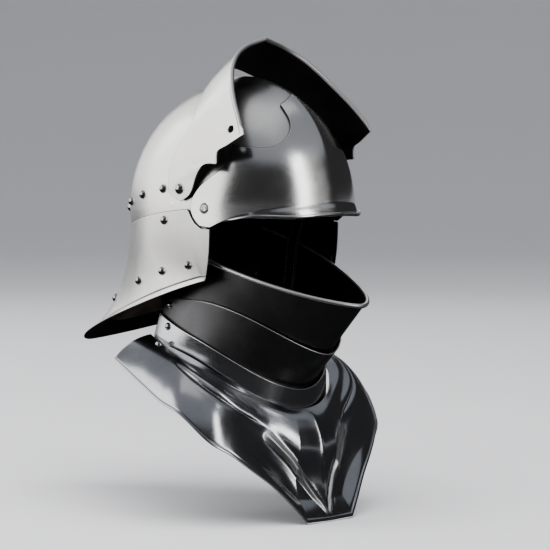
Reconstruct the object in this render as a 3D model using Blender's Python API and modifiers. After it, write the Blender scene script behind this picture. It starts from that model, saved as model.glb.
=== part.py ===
"""Knight's helmet: a sallet with a raising visor, and a bevor of four overlapping plates.

The tables below are in millimetres and degrees, and the model is in metres with +Z up. The helmet faces -Y
and +X is the wearer's left. The origin is the middle of the neck opening, on the plane of symmetry.
Plates are modelled as the wearer's left half of their outer face, mirrored, then made solid inwards.
"""

import functools
import math

import bmesh
import bpy
from mathutils import Matrix, Vector

MM = 0.001
COLLECTION = "knight_helmet"

# Sheet metal and clearances
SHEET = 1.6
BROW_SHEET = 2.0
TOUCH_GAP = 0.35
FLAT_ALLOWANCE = 0.9
SLIDE_GAP = 0.9
LEATHER = 2.0

# Skull: half an ellipsoid, longer behind than in front, tipped nose up, with a medial ridge
SKULL_FRONT = 130.0
SKULL_REAR = 157.5
SKULL_HALF_WIDTH = 105.0
SKULL_HEIGHT = 142.0
SKULL_Y = -3.2
SKULL_Z = 180.5
SKULL_PITCH = math.radians(5.2)
RIDGE_HEIGHT = 5.6
RIDGE_FADE = 14.0
SKULL_FRONT_EDGE_Z = 191.0
SKULL_HEM = 20.0
SKULL_HEM_START = -54.0
SKULL_HEM_RUN = 18.0

# Brow plate: a second skin over the forehead, with a flange along the sight and a tongue over the crown.
# Its upper outline is in degrees round the skull from the front, and degrees up from its base.
BROW_PROUD = SLIDE_GAP + BROW_SHEET
BROW_RIM = [(71, -8.2), (64, -6.0), (54, -3.6), (42, -2.2), (28, -1.4), (14, -1.0), (0, -0.8)]
BROW_TOP = [(76, -7.6), (80, -3.2), (81, 1.2), (79.3, 5.6), (75.5, 9.6), (70, 13), (65, 15.8),
            (61, 18.6), (58.2, 22), (56.8, 28.6), (51, 26.8), (44, 25.8), (35.5, 25.2), (28, 27),
            (21.5, 31), (18, 35), (16.6, 40), (17.4, 48.5)]
TONGUE_TIP = (0, 53.5)
BROW_FLANGE = 7.5
BROW_FLANGE_DROP = 12.5
BROW_GRID = (34, 7)
BROW_SPLIT = 21 / 34
BROW_ROOT = 1 / 7
BROW_SCREW = (73.2, 0.0)
SCREW_RADIUS = 5.0

# Visor: two edges from the keel to the pivot, as (distance out from the middle, radius, angle) about the
# pivot axis, with the angle measured up from straight ahead in the raised position.
PIVOT_Y = -8.0
PIVOT_Z = 205.0
PIVOT_X = 108.6
VISOR_RIM = [(0, 165.5, 81.2), (14, 161.6, 81.6), (28, 157.2, 81.4), (42.5, 150.6, 79.8),
             (56, 142.6, 76.4), (67.5, 133.2, 71.6), (79, 122.6, 63.5), (88.5, 115.6, 53.5),
             (95.5, 112.2, 42.5), (100.5, 111.6, 33.5)]
VISOR_BACK = [(0, 137.5, 102.5), (14, 132.5, 101.6), (28, 126, 100.6), (42.5, 118.5, 99.4),
              (56, 110.5, 97.4), (68.5, 100.5, 94.8), (80.5, 90, 91), (90, 78, 87.3), (95.8, 67, 88),
              (100.4, 55.5, 92)]
ARM_FRONT = [(104.6, 88, 34.5), (107.2, 73, 35.5), (108, 65, 26.5), (108.6, 52, 34), (108.8, 41, 35.5),
             (109, 29.5, 28), (109, 21.5, 8), (109, 14, -42), (109, 13, -82)]
ARM_BACK = [(104.2, 43.5, 101), (105.6, 36, 109), (106.6, 28.5, 122), (107.5, 22, 142), (108.4, 18.3, 165),
            (109, 17, 185), (109, 15.5, 203), (109, 14, 217), (109, 13, 230)]
VISOR_FLATTEN = (3.0, 10.0)   # columns over which the curved bowl gives way to the flat arm
PEG_HOLE = (98, 43)
PEG_HOLE_RADIUS = 4.2
PIVOT_HEAD = 5.9

# Tail lame: from the foot of the skull out to a long rounded tail
TAIL_FRONT_Y = -46.0
TAIL_HALF_WIDTH = 107.0
TAIL_WIDEST_Y = 10.0
TAIL_TIP_Y = 263.0
TAIL_POWER = 1.3
TAIL_FRONT_Z = 107.0
TAIL_TIP_Z = 13.0
TAIL_PIVOT = (19.5, 169.5)
TAIL_NOTCH = [(-46, 161.3), (-35, 161.8), (-27, 167.5), (-21.5, 176), (-19, 182.3)]

# Bevor: outer edge of each plate as (half width, front, y of the widest place, back, power) of its plan,
# then its height at the sides, slope per mm forwards, extra drop at the front, and end angle.
CHIN_RIM = dict(plan=(85, 168, -14, 152, 1.27), z=132, slope=0.36, drop=-10, end=118)
MAIN_TOP = dict(plan=(88, 126, -6, 152, 1.15), z=80.5, slope=0.0, drop=58, end=118)
COLLAR_TOP = dict(plan=(93, 87, -6, 134, 1.06), z=42, slope=0.33, drop=32, end=118)
GORGET_TOP = dict(plan=(97, 103, 8, 115, 0.95), z=24.5, slope=0.25, drop=38, end=118)
PLATE_LAP_FRONT = 12.0
PLATE_LAP_REAR = 17.0
LAP_START = 0.75
PLATE_STEP = 4.2
LAME_RIVETS = {"upper_lame_rivet": (0.926, 0.23), "collar_rivet": (0.904, 0.16),
               "gorget_rivet": (0.876, 0.085)}

# Gorget plate: lower outline from the middle of the chest out to the shoulder and up to the nape corner
GORGET_FOOT = [(0, -134.5, -161), (35.5, -134, -160), (52, -127, -140), (72, -117, -118),
               (94, -106, -99), (114.5, -94, -81), (134, -79, -66), (148, -50, -38), (151, -22, -26),
               (148.5, 7, -12), (144, 34, 0), (138, 68, 15)]

# How far the plate is drawn in on each side of its keel: broadly, and close to the keel's foot, where
# the second set gives the depth, then the middle and spread round the plate and down it
GORGET_SIDE_HOLLOW = 20.0
GORGET_PROW_HOLLOW = (15.0, 0.12, 0.12, 0.78, 0.15)

# Lining: a leather band in the skull and one in the tail lame, held by rows of domed rivets, and a
# quilted cap. Heights are those of the lame's upper edge plus a step; turns are in degrees.
BAND_STEP = 26.5
BAND_WIDTH = 15.0
BAND_TURNS = (100, 117, 134, 151, 168)
TAIL_BAND = (0.74, 0.64)
TAIL_BAND_HALF = 0.085
TAIL_BAND_Y = (-18, 25, 74, 150)
LINER_DEPTH = 9.0
LINER_THICKNESS = 9.0
CROWN_PAD_RADIUS = 24.0
CROWN_PAD_TOP = 301.0
CROWN_PAD_THICKNESS = 7.0

# Straps: the outer face's route on the left side, and the far end of the right-hand strap, which passes
# through the buckle
STRAP_THICKNESS = 2.4
NECK_STRAP_WIDTH = 18.0
NECK_STRAP = [(77.6, 28.5, 71.5), (75.2, 38.5, 71.5), (71.6, 50, 71.5), (64, 66, 71.5), (52, 82, 71.5),
              (38, 95, 71), (24, 102.5, 70.5), (11, 106, 70)]
NECK_STRAP_END = [(-25, 103, 70), (-8, 103.5, 70), (10, 100.5, 70), (26, 97, 70), (38, 91, 70.5)]
CHIN_STRAP_WIDTH = 16.0
CHIN_STRAP = [(100.4, 8, 196), (100.4, 8, 182), (95, 6, 163), (76, -2, 138), (62, -12, 114),
              (45, -25, 91), (27, -34, 75), (11, -38, 70)]
CHIN_STRAP_END = [(-27, -34, 75), (-8, -38, 72.6), (10, -38, 75.5), (25, -35.5, 81.5), (36, -30, 90)]
CHIN_STRAP_RIVET = (8, 189)

SHEETS = {}
STEEL = (0.56, 0.55, 0.53)
BLACK_LEATHER = ((0.02, 0.02, 0.02), 0.0, 0.55)
BROWN_LEATHER = ((0.06, 0.035, 0.02), 0.0, 0.6)
LINEN = ((0.1, 0.09, 0.075), 0.0, 0.9)
BRIGHT = (STEEL, 1.0, 0.2)


# ---- scene and mesh helpers -------------------------------------------------------------------------

def clear_scene():
    for item in list(bpy.data.objects):
        bpy.data.objects.remove(item, do_unlink=True)


def make_collection(name):
    group = bpy.data.collections.new(name)
    bpy.context.scene.collection.children.link(group)
    return group


def material(name, colour, metallic, roughness):
    found = bpy.data.materials.get(name)
    if found:
        return found
    made = bpy.data.materials.new(name)
    made.use_nodes = True
    shader = made.node_tree.nodes["Principled BSDF"]
    shader.inputs["Base Color"].default_value = (*colour, 1.0)
    shader.inputs["Metallic"].default_value = metallic
    shader.inputs["Roughness"].default_value = roughness
    return made


def finish_object(name, mesh, look):
    mesh.name = name
    thing = bpy.data.objects.new(name, mesh)
    PARTS.objects.link(thing)
    colour, metallic, roughness = look
    mesh.materials.clear()
    mesh.materials.append(material(name, colour, metallic, roughness))
    mesh.shade_smooth()
    mesh.set_sharp_from_angle(angle=math.radians(35))
    return thing


def cutter(mesh, name):
    thing = bpy.data.objects.new(name, mesh)
    CUTTERS.objects.link(thing)
    thing.hide_render = True
    thing.display_type = "WIRE"
    return thing


def grid_sheet(columns, rows, place):
    """A grid whose vertex at column i, row j is moved to place(i / columns, j / rows), in millimetres."""
    cage = bmesh.new()
    bmesh.ops.create_grid(cage, x_segments=columns, y_segments=rows, size=0.5)
    for vertex in cage.verts:
        u, v = vertex.co.x + 0.5, vertex.co.y + 0.5
        vertex.co = Vector(place(u, v)) * MM
    bmesh.ops.remove_doubles(cage, verts=cage.verts, dist=0.00002)
    bmesh.ops.dissolve_degenerate(cage, dist=0.00002, edges=cage.edges)
    return cage


def to_mesh(cage, name):
    mesh = bpy.data.meshes.new(name)
    cage.to_mesh(mesh)
    cage.free()
    return mesh


def add_mirror(thing):
    mirror = thing.modifiers.new("Mirror", "MIRROR")
    mirror.use_axis = (True, False, False)
    mirror.merge_threshold = 0.00002


def add_solidify(thing, thickness):
    solid = thing.modifiers.new("Solidify", "SOLIDIFY")
    solid.thickness = thickness * MM
    solid.offset = -1.0
    solid.use_even_offset = True
    solid.use_quality_normals = True


def add_cut(thing, tool):
    cut = thing.modifiers.new("Hole", "BOOLEAN")
    cut.operation = "DIFFERENCE"
    cut.solver = "EXACT"
    cut.object = tool


def plate(name, columns, rows, place, thickness=SHEET, look=(STEEL, 1.0, 0.25), mirrored=True):
    """Sheet-metal plate: half its outer face from place(u, v), mirrored and given its thickness inwards."""
    cage = grid_sheet(columns, rows, place)
    if mirrored:
        seam = [face for face in cage.faces if all(abs(vertex.co.x) < 1e-6 for vertex in face.verts)]
        bmesh.ops.delete(cage, geom=seam, context="FACES")
        cage.normal_update()
        if sum(face.normal.x * face.calc_area() for face in cage.faces) < 0:
            bmesh.ops.reverse_faces(cage, faces=cage.faces)
    thing = finish_object(name, to_mesh(cage, name), look)
    if mirrored:
        add_mirror(thing)
    add_solidify(thing, thickness)
    return thing


def mix(a, b, t):
    return a + (b - a) * t


def smooth(t):
    t = min(max(t, 0.0), 1.0)
    return t * t * (3 - 2 * t)


def along(points, t):
    """The point a fraction t of the way along a list, counting every stretch between points as equal."""
    place = min(max(t, 0.0), 1.0) * (len(points) - 1)
    index = min(int(place), len(points) - 2)
    return [mix(a, b, place - index) for a, b in zip(points[index], points[index + 1])]


def axis_matrix(point, direction):
    """A frame at a point in millimetres whose +Z is the direction."""
    turn = Vector(direction).to_track_quat("Z", "Y").to_matrix().to_4x4()
    return Matrix.Translation(Vector(point) * MM) @ turn


def both_sides(places):
    """Each (point, direction) and its mirror image across the plane of symmetry."""
    both = []
    for point, direction in places:
        both.append((point, direction))
        both.append(((-point[0], point[1], point[2]), (-direction[0], direction[1], direction[2])))
    return both


def turned(profile, steps):
    """Mesh of a profile of (radius, height) in mm, listed from the top down, turned about Z."""
    cage = bmesh.new()
    line = [cage.verts.new((r * MM, 0, z * MM)) for r, z in profile]
    for a, b in zip(line, line[1:]):
        cage.edges.new((a, b))
    thing = bpy.data.objects.new("profile", to_mesh(cage, "profile"))
    bpy.context.scene.collection.objects.link(thing)
    screw = thing.modifiers.new("Screw", "SCREW")
    screw.steps = steps
    screw.render_steps = steps
    screw.use_merge_vertices = True
    screw.merge_threshold = 0.00001
    graph = bpy.context.evaluated_depsgraph_get()
    mesh = bpy.data.meshes.new_from_object(thing.evaluated_get(graph))
    bpy.data.objects.remove(thing, do_unlink=True)
    return mesh


def copies(name, mesh, places, look):
    """A piece with its own name at each (point, direction); left pieces come first in each pair."""
    pieces = []
    for index, (point, direction) in enumerate(places):
        side = "left" if index % 2 == 0 else "right"
        number = f"_{index // 2 + 1}" if len(places) > 2 else ""
        piece = mesh.copy()
        piece.transform(axis_matrix(point, direction))
        pieces.append(finish_object(f"{name}{number}_{side}", piece, look))
    return pieces


def drill(things, places, radius, depth=14.0, sides=8):
    """Cuts a round hole through each thing at each (point, direction)."""
    cage = bmesh.new()
    for point, direction in places:
        bmesh.ops.create_cone(cage, cap_ends=True, segments=sides, radius1=radius * MM,
                              radius2=radius * MM, depth=depth * MM,
                              matrix=axis_matrix(point, direction))
    tool = cutter(to_mesh(cage, "drill"), "drill_" + things[0].name)
    for thing in things:
        add_cut(thing, tool)


def rivet_mesh(head, rise, shank, grip, burr, burr_rise, steps=8):
    """Rivet with a domed head standing on z = 0, its shank down through the grip, and a burr inside."""
    foot = -grip - FLAT_ALLOWANCE
    return turned([(0, rise + TOUCH_GAP), (head * 0.55, rise * 0.8 + TOUCH_GAP), (head, TOUCH_GAP),
                   (shank, TOUCH_GAP), (shank, foot), (burr, foot), (burr * 0.8, foot - burr_rise),
                   (0, foot - burr_rise)], steps)


def spline(points, t):
    """A smooth curve through the points (Catmull-Rom), a fraction t of the way along."""
    place = min(max(t, 0.0), 1.0) * (len(points) - 1)
    index = min(int(place), len(points) - 2)
    t = place - index
    p1, p2 = Vector(points[index]), Vector(points[index + 1])
    p0 = Vector(points[index - 1]) if index else p1 * 2 - p2
    p3 = Vector(points[index + 2]) if index + 2 < len(points) else p2 * 2 - p1
    return 0.5 * (2 * p1 + (p2 - p0) * t + (2 * p0 - 5 * p1 + 4 * p2 - p3) * t * t
                  + (3 * p1 - 3 * p2 + p3 - p0) * t ** 3)


def on_sheet(place, y, z):
    """The point of a sheet seen from the side at y, z."""
    u, v, reach = 0.5, 0.5, 0.5
    for _ in range(16):
        tries = [(min(max(u + i * reach, 0.0), 1.0), min(max(v + j * reach, 0.0), 1.0))
                 for i in (-1, -0.5, 0, 0.5, 1) for j in (-1, -0.5, 0, 0.5, 1)]
        u, v = min(tries, key=lambda t: math.hypot(place(*t).y - y, place(*t).z - z))
        reach *= 0.6
    return place(u, v)


def sheet_normal(place, u, v):
    """Normal of a sheet at u, v, pointing away from the plane of symmetry."""
    step = 0.01
    u, v = min(max(u, step), 1 - step), min(max(v, step), 1 - step)
    side = Vector(place(u + step, v)) - Vector(place(u - step, v))
    up = Vector(place(u, v + step)) - Vector(place(u, v - step))
    normal = side.cross(up).normalized()
    return -normal if normal.x < 0 else normal


# ---- skull ------------------------------------------------------------------------------------------

def skull_point(turn, rise, proud=0.0):
    """Outer face of the skull pushed out by proud: turn from the front, rise from its base, in radians.

    Below its base, where rise is negative, the wall runs straight down.
    """
    front = math.cos(turn) > 0
    length = (SKULL_FRONT if front else SKULL_REAR) + proud
    ring = math.cos(max(rise, 0.0))
    x = (SKULL_HALF_WIDTH + proud) * math.sin(turn) * ring
    y = -length * math.cos(turn) * ring
    z = (SKULL_HEIGHT + proud) * (math.sin(rise) if rise > 0 else rise)
    out = Vector((x, y, max(z, 0.0)))
    swell = 1.0 + RIDGE_HEIGHT * math.exp(-abs(x) / RIDGE_FADE) / max(out.length, 1.0)
    x, y = x * swell, y * swell
    z = z * swell if z > 0 else z
    c, s = math.cos(SKULL_PITCH), math.sin(SKULL_PITCH)
    x = 0.0 if abs(x) < 1e-6 else x
    return Vector((x, y * c + z * s + SKULL_Y, -y * s + z * c + SKULL_Z))


def skull_normal(turn, rise):
    step = 0.01
    side = skull_point(turn + step, rise) - skull_point(turn - step, rise)
    up = skull_point(turn, rise + step) - skull_point(turn, rise - step)
    return side.cross(up).normalized()


def lame_top_z(y):
    """Height of the tail lame's upper edge."""
    return 180.5 - 0.11 * y - 0.0008 * y * y


def notched_top_z(y):
    """The same edge with its notch under the brow plate's ear."""
    for (y0, z0), (y1, z1) in zip(TAIL_NOTCH, TAIL_NOTCH[1:]):
        if y < y1:
            return mix(z0, z1, max((y - y0) / (y1 - y0), 0.0))
    return lame_top_z(y)


def rise_at(turn, height, proud=0.0):
    """The rise at which the skull's face reaches a height, found by halving."""
    low, high = -0.9, 1.4
    for _ in range(40):
        middle = (low + high) / 2
        if skull_point(turn, middle, proud).z < height:
            low = middle
        else:
            high = middle
    return (low + high) / 2


def skull_foot_rise(turn):
    """Lower edge of the skull: over the eyes in front, and tucked under the tail lame behind."""
    y = skull_point(turn, 0.0).y
    hidden = min(notched_top_z(y) - SKULL_HEM / 3, lame_top_z(y) - SKULL_HEM)
    blend = smooth((y - SKULL_HEM_START) / SKULL_HEM_RUN)
    return rise_at(turn, mix(SKULL_FRONT_EDGE_Z, hidden, blend))


def eased_turn(t):
    """Turn from front to back with closer columns at the ridge."""
    return math.pi * (t - 0.09 * math.sin(2 * math.pi * t))


def make_skull():
    def place(u, v):
        turn = eased_turn(u)
        return skull_point(turn, mix(skull_foot_rise(turn), math.pi / 2, v))
    return plate("skull_shell", 20, 9, place)


# ---- brow plate -------------------------------------------------------------------------------------

def brow_edge(t):
    """Inner boundary of the brow plate: along the rim to the middle, then up the ridge to the tongue."""
    if t <= BROW_SPLIT:
        return along(BROW_RIM, t / BROW_SPLIT)
    return along([BROW_RIM[-1], TONGUE_TIP], (t - BROW_SPLIT) / (1 - BROW_SPLIT))


def brow_point(turn, rise, proud):
    return skull_point(math.radians(turn), math.radians(rise), proud)


def brow_place(u, v):
    """u runs from the ear to the tongue, and v from the flange's lip, over its root, to the top edge."""
    root = BROW_ROOT
    turn, rise = brow_edge(u)
    if v < root - 1e-6:
        lip = (1 - v / root) * smooth((72.0 - turn) / 45.0)
        here = brow_point(turn, rise, BROW_PROUD)
        if u > BROW_SPLIT + 1e-6:
            return here
        out = Vector((here.x, here.y - SKULL_Y, 0)).normalized()
        return here + out * BROW_FLANGE * lip - Vector((0, 0, BROW_FLANGE_DROP)) * lip
    top_turn, top_rise = along(BROW_TOP, u)
    t = (v - root) / (1 - root)
    return brow_point(mix(turn, top_turn, t), mix(rise, top_rise, t), BROW_PROUD)


def make_brow():
    return plate("brow_plate", *BROW_GRID, brow_place, BROW_SHEET, (STEEL, 1.0, 0.16))


def brow_screw_places():
    turn, rise = (math.radians(value) for value in BROW_SCREW)
    point = skull_point(turn, rise, BROW_PROUD)
    return both_sides([(tuple(point), tuple(skull_normal(turn, rise)))])


def make_brow_screws(skull, brow):
    """Flush slotted screws through the brow plate and the skull into a square nut."""
    places = brow_screw_places()
    grip = BROW_PROUD + SHEET + FLAT_ALLOWANCE
    mesh = turned([(0, 0.3), (SCREW_RADIUS * 0.8, 0.2), (SCREW_RADIUS, -0.2), (2.2, -BROW_SHEET + 0.2),
                   (2.2, -grip), (4.5, -grip), (4.5, -grip - 2.5), (0, -grip - 2.5)], 12)
    screws = copies("brow_screw", mesh, places, (STEEL, 1.0, 0.3))
    slots = bmesh.new()
    for point, direction in places:
        bmesh.ops.create_cube(slots, size=1.0, matrix=axis_matrix(point, direction) @ Matrix.Rotation(
            math.radians(38), 4, "Z") @ Matrix.Diagonal((0.012, 0.0011, 0.0016, 1.0)))
    tool = cutter(to_mesh(slots, "slots"), "cut_slots")
    for screw in screws:
        add_cut(screw, tool)
    drill([skull], places, 2.6, 16.0)
    sink = turned([(0, 0.8), (7.5, 0.8), (2.6, -2.0), (2.6, -10.0), (0, -10.0)], 12)
    for index, (point, direction) in enumerate(places):
        hole = sink.copy()
        hole.transform(axis_matrix(point, direction))
        add_cut(brow, cutter(hole, f"cut_countersink_{index}"))


# ---- visor ------------------------------------------------------------------------------------------

def polar_point(x, radius, angle):
    """A point at a radius and an angle, up from straight ahead, about the visor's pivot axis."""
    a = math.radians(angle)
    return Vector((x, PIVOT_Y - radius * math.cos(a), PIVOT_Z + radius * math.sin(a)))


def visor_place(u, v):
    """u runs from the keel out to the pivot, and v from the front rim to the back edge."""
    front = along(VISOR_RIM + ARM_FRONT, u)
    back = along(VISOR_BACK + ARM_BACK, u)
    curved = polar_point(*[mix(a, b, v) for a, b in zip(front, back)])
    start, end = VISOR_FLATTEN
    column = u * (len(VISOR_RIM) + len(ARM_FRONT) - 1)
    straight = polar_point(*front).lerp(polar_point(*back), v)
    return curved.lerp(straight, smooth((column - start) / (end - start)))


def make_visor():
    visor = plate("visor", len(VISOR_RIM) + len(ARM_FRONT) - 1, 5, visor_place, SHEET, (STEEL, 1.0, 0.28))
    hub = ((PIVOT_X, PIVOT_Y, PIVOT_Z), (1.0, 0.0, 0.0))
    drill([visor], both_sides([hub]), 3.4, 12.0)
    hole = polar_point(-102.0, *PEG_HOLE)
    drill([visor], [(tuple(hole), (-1.0, -0.25, 0.1))], PEG_HOLE_RADIUS, 20.0)
    return visor


def make_visor_pivots(skull):
    """Domed pivot rivets through the visor's arms, with a spacer outside the skull and a burr inside."""
    turn = math.pi / 2 + 0.03
    wall = skull_point(turn, rise_at(turn, PIVOT_Z)).x
    outer = ARM_FRONT[-1][0]
    inner = outer - SHEET
    inside = wall - outer - SHEET - LEATHER - FLAT_ALLOWANCE * 4
    mesh = turned([(0, 3.2), (PIVOT_HEAD * 0.55, 2.6), (PIVOT_HEAD, TOUCH_GAP), (3.0, TOUCH_GAP),
                   (3.0, inside), (6.0, inside), (6.0, inside - 1.4), (0, inside - 1.4)], 12)
    places = both_sides([((outer, PIVOT_Y, PIVOT_Z), (1.0, 0.0, 0.0))])
    copies("visor_pivot", mesh, places, (STEEL, 1.0, 0.2))
    spacer = turned([(3.4, inner - TOUCH_GAP), (7.5, inner - TOUCH_GAP), (7.5, wall + 1.3),
                     (3.4, wall + 1.3), (3.4, inner - TOUCH_GAP)], 12)
    copies("visor_spacer", spacer, both_sides([((0, PIVOT_Y, PIVOT_Z), (1.0, 0.0, 0.0))]),
           ((0.12, 0.08, 0.05), 0.0, 0.6))
    drill([skull], places, 3.4, 30.0)
    return places


# ---- tail lame --------------------------------------------------------------------------------------

def tail_foot(y):
    """Lower edge of the tail lame at a distance back: its half width and its height."""
    t = (y - TAIL_FRONT_Y) / (TAIL_TIP_Y - TAIL_FRONT_Y)
    height = mix(TAIL_FRONT_Z, TAIL_TIP_Z, t)
    if y <= TAIL_WIDEST_Y:
        inset = (TAIL_WIDEST_Y - y) / (TAIL_WIDEST_Y - TAIL_FRONT_Y)
        return TAIL_HALF_WIDTH - 6.5 * inset * inset, height
    back = min((y - TAIL_WIDEST_Y) / (TAIL_TIP_Y - TAIL_WIDEST_Y), 1.0)
    return TAIL_HALF_WIDTH * (1 - back ** (2 / TAIL_POWER)) ** (TAIL_POWER / 2), height


def tail_place(u, v):
    """u runs from the front edge to the tip of the tail, and v from the upper edge down to the rim."""
    proud = SLIDE_GAP + SHEET
    start = math.acos(-(TAIL_FRONT_Y - SKULL_Y) / (SKULL_FRONT + proud))
    turn = mix(start, math.pi, u)
    wall = skull_point(turn, 0.0, proud)
    top = skull_point(turn, rise_at(turn, notched_top_z(wall.y), proud), proud)
    angle = smooth(u) * 0.35 + u * 0.65
    foot_y = mix(TAIL_FRONT_Y + 5, TAIL_TIP_Y, 1 - math.cos(angle * math.pi / 2) ** 1.15)
    half, height = tail_foot(foot_y)
    half = 0.0 if u > 0.9999 else half
    foot = Vector((half, foot_y, height))
    bend = Vector((mix(top.x, foot.x, 0.15), mix(top.y, foot.y, 0.04), mix(top.z, foot.z, 0.6)))
    return top * (1 - v) ** 2 + bend * 2 * v * (1 - v) + foot * v * v


def make_tail():
    return plate("tail_lame", 20, 6, tail_place, SHEET, (STEEL, 1.0, 0.26))


# ---- bevor ------------------------------------------------------------------------------------------

def bevor_ring(ring, u, inset=0.0):
    """A point on a plate's plan, a fraction u of the way from the middle of the front to its rear end."""
    half, front, middle, back, power = ring["plan"]
    angle = math.radians(ring["end"]) * u
    sine, cosine = math.sin(angle), math.cos(angle)
    x = (half - inset) * sine ** power if sine > 1e-9 else 0.0
    reach = (front if cosine > 0 else back) - inset
    y = middle - reach * math.copysign(abs(cosine) ** power, cosine)
    forward = max(middle - y, 0.0) / front
    z = ring["z"] - ring["slope"] * (middle - y) - ring["drop"] * forward ** 2
    return Vector((x, y, z))


def bevor_place(top, below, last, u, v):
    """A plate from its own edge to just inside the next plate's edge, then a lap that follows that plate."""
    a = bevor_ring(top, u)
    b = bevor_ring(below, u, PLATE_STEP)
    if v <= LAP_START:
        return a.lerp(b, v / LAP_START)
    lap = mix(PLATE_LAP_FRONT, PLATE_LAP_REAR, u)
    down = bevor_ring(last, u, PLATE_STEP * 2) - b if last else Vector((0, 0, -1))
    down = down.normalized() * lap
    return b + down * (v - LAP_START) / (1 - LAP_START)


def make_bevor_plates():
    rings = [CHIN_RIM, MAIN_TOP, COLLAR_TOP, GORGET_TOP]
    names = ["bevor_upper_lame", "bevor_main_plate", "collar_lame"]
    rough = [0.42, 0.42, 0.14]
    plates = []
    SHEETS["gorget_plate"] = gorget_place
    for name, top, below, last, r in zip(names, rings, rings[1:], rings[2:] + [None], rough):
        SHEETS[name] = functools.partial(bevor_place, top, below, last)
        plates.append(plate(name, 20, 4, SHEETS[name], SHEET, (STEEL, 1.0, r)))
    return plates


def gorget_place(u, v):
    """u runs from the middle of the chest round to the nape, and v from the neck down to the outline."""
    top = bevor_ring(GORGET_TOP, u)
    foot = Vector(along(GORGET_FOOT, u))
    hollow = GORGET_SIDE_HOLLOW * math.sin(math.pi * min(u / 0.55, 1.0)) ** 2
    bend = Vector((mix(top.x, foot.x, 0.62), mix(top.y, foot.y, 0.62) - 10 * (1 - u) + hollow,
                   mix(top.z, foot.z, 0.16)))
    depth, u_middle, u_spread, v_middle, v_spread = GORGET_PROW_HOLLOW
    away = ((u - u_middle) / u_spread) ** 2 + ((v - v_middle) / v_spread) ** 2
    drawn_in = depth * math.exp(-away / 2) * min((1 - v) / 0.12, 1.0)
    return top * (1 - v) ** 2 + bend * 2 * v * (1 - v) + foot * v * v + Vector((0, drawn_in, 0))


def make_gorget():
    return plate("gorget_plate", 22, 7, gorget_place, SHEET, (STEEL, 1.0, 0.14))


def make_lame_rivets(plates):
    """The rivets on which the bevor's plates rock, each through an outer plate and the one inside it."""
    for index, (name, (u, v)) in enumerate(LAME_RIVETS.items()):
        inner, outer = plates[index], plates[index + 1]
        grip = PLATE_STEP + SHEET + (STRAP_THICKNESS + FLAT_ALLOWANCE if index == 0 else 0.0)
        mesh = rivet_mesh(3.9, 2.6, 1.8, grip, 3.2, 1.3)
        place = SHEETS[outer.name]
        places = both_sides([(tuple(place(u, v)), tuple(sheet_normal(place, u, v)))])
        copies(name, mesh, places, BRIGHT)
        drill([inner, outer], places, 2.3)
        if index == 0:
            strap_places = places
    return strap_places


# ---- lining, straps and buckles ---------------------------------------------------------------------

def band_place(u, v):
    """The leather band just inside the skull."""
    turn = eased_turn(u)
    inset = -SHEET - FLAT_ALLOWANCE
    row = lame_top_z(skull_point(turn, 0.0).y) + BAND_STEP
    return skull_point(turn, rise_at(turn, row + (v - 0.5) * BAND_WIDTH, inset), inset)


def make_lining(skull, tail, pivots):
    band = plate("skull_lining_band", 20, 1, band_place, LEATHER, BROWN_LEATHER)
    rivet = rivet_mesh(4.4, 3.2, 1.9, SHEET + LEATHER + FLAT_ALLOWANCE, 3.4, 1.0)
    places = []
    for degrees in BAND_TURNS:
        turn = math.radians(degrees)
        rise = rise_at(turn, lame_top_z(skull_point(turn, 0.0).y) + BAND_STEP)
        places.append((tuple(skull_point(turn, rise)), tuple(skull_normal(turn, rise))))
    places = both_sides(places)
    copies("skull_lining_rivet", rivet, places, BRIGHT)
    drill([skull, band], places, 2.3)
    drill([band], pivots, 3.4, 30.0)

    def strip_place(u, v):
        u = mix(0.03, 1.0, u)
        row = mix(*TAIL_BAND, u) + (v - 0.5) * 2 * TAIL_BAND_HALF
        point = tail_place(u, row)
        normal = sheet_normal(tail_place, u, row)
        normal.x = 0.0 if u > 0.999 else normal.x
        return point - normal.normalized() * (SHEET + FLAT_ALLOWANCE)

    strip = plate("tail_lining_strip", 20, 1, strip_place, LEATHER, BROWN_LEATHER)
    places = []
    for y in TAIL_BAND_Y:
        low, high = 0.0, 1.0
        for _ in range(30):
            middle = (low + high) / 2
            if tail_place(middle, mix(*TAIL_BAND, middle)).y < y:
                low = middle
            else:
                high = middle
        row = mix(*TAIL_BAND, low)
        places.append((tuple(tail_place(low, row)), tuple(sheet_normal(tail_place, low, row))))
    places = both_sides(places)
    copies("tail_lining_rivet", rivet, places, BRIGHT)
    drill([tail, strip], places, 2.3)


def make_liner():
    """The quilted cap inside the skull, and the flat pad at its crown."""
    def place(u, v):
        turn = eased_turn(u)
        row = lame_top_z(skull_point(turn, 0.0).y) + BAND_STEP - BAND_WIDTH * 0.75
        return skull_point(turn, mix(rise_at(turn, row, -LINER_DEPTH), math.pi / 2, v), -LINER_DEPTH)
    plate("padded_liner", 14, 7, place, LINER_THICKNESS, LINEN)
    pad = bmesh.new()
    bmesh.ops.create_cone(pad, cap_ends=True, segments=24, radius1=CROWN_PAD_RADIUS * MM,
                          radius2=CROWN_PAD_RADIUS * 0.8 * MM, depth=CROWN_PAD_THICKNESS * MM,
                          matrix=Matrix.Translation((0, 0, (CROWN_PAD_TOP - CROWN_PAD_THICKNESS / 2) * MM)))
    finish_object("crown_pad", to_mesh(pad, "crown_pad"), LINEN)


def strap(name, route, across, width, look):
    """A strap whose outer face follows the route and whose thickness goes towards the wearer."""
    across = Vector(across)

    def place(u, v):
        return spline(route, u) + across * (v - 0.5) * width
    return plate(name, (len(route) - 1) * 2, 1, place, STRAP_THICKNESS, look, mirrored=False)


def strap_pair(name, route, far_end, across, width, look):
    """Left strap ending at its buckle, and right strap carried on through it."""
    left = strap(name + "_left", route, across, width, look)
    other = [(-x, y, z) for x, y, z in route[:-2]] + far_end
    back = tuple(-value for value in across)
    right = strap(name + "_right", other, back, width, look)
    return left, right


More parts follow.
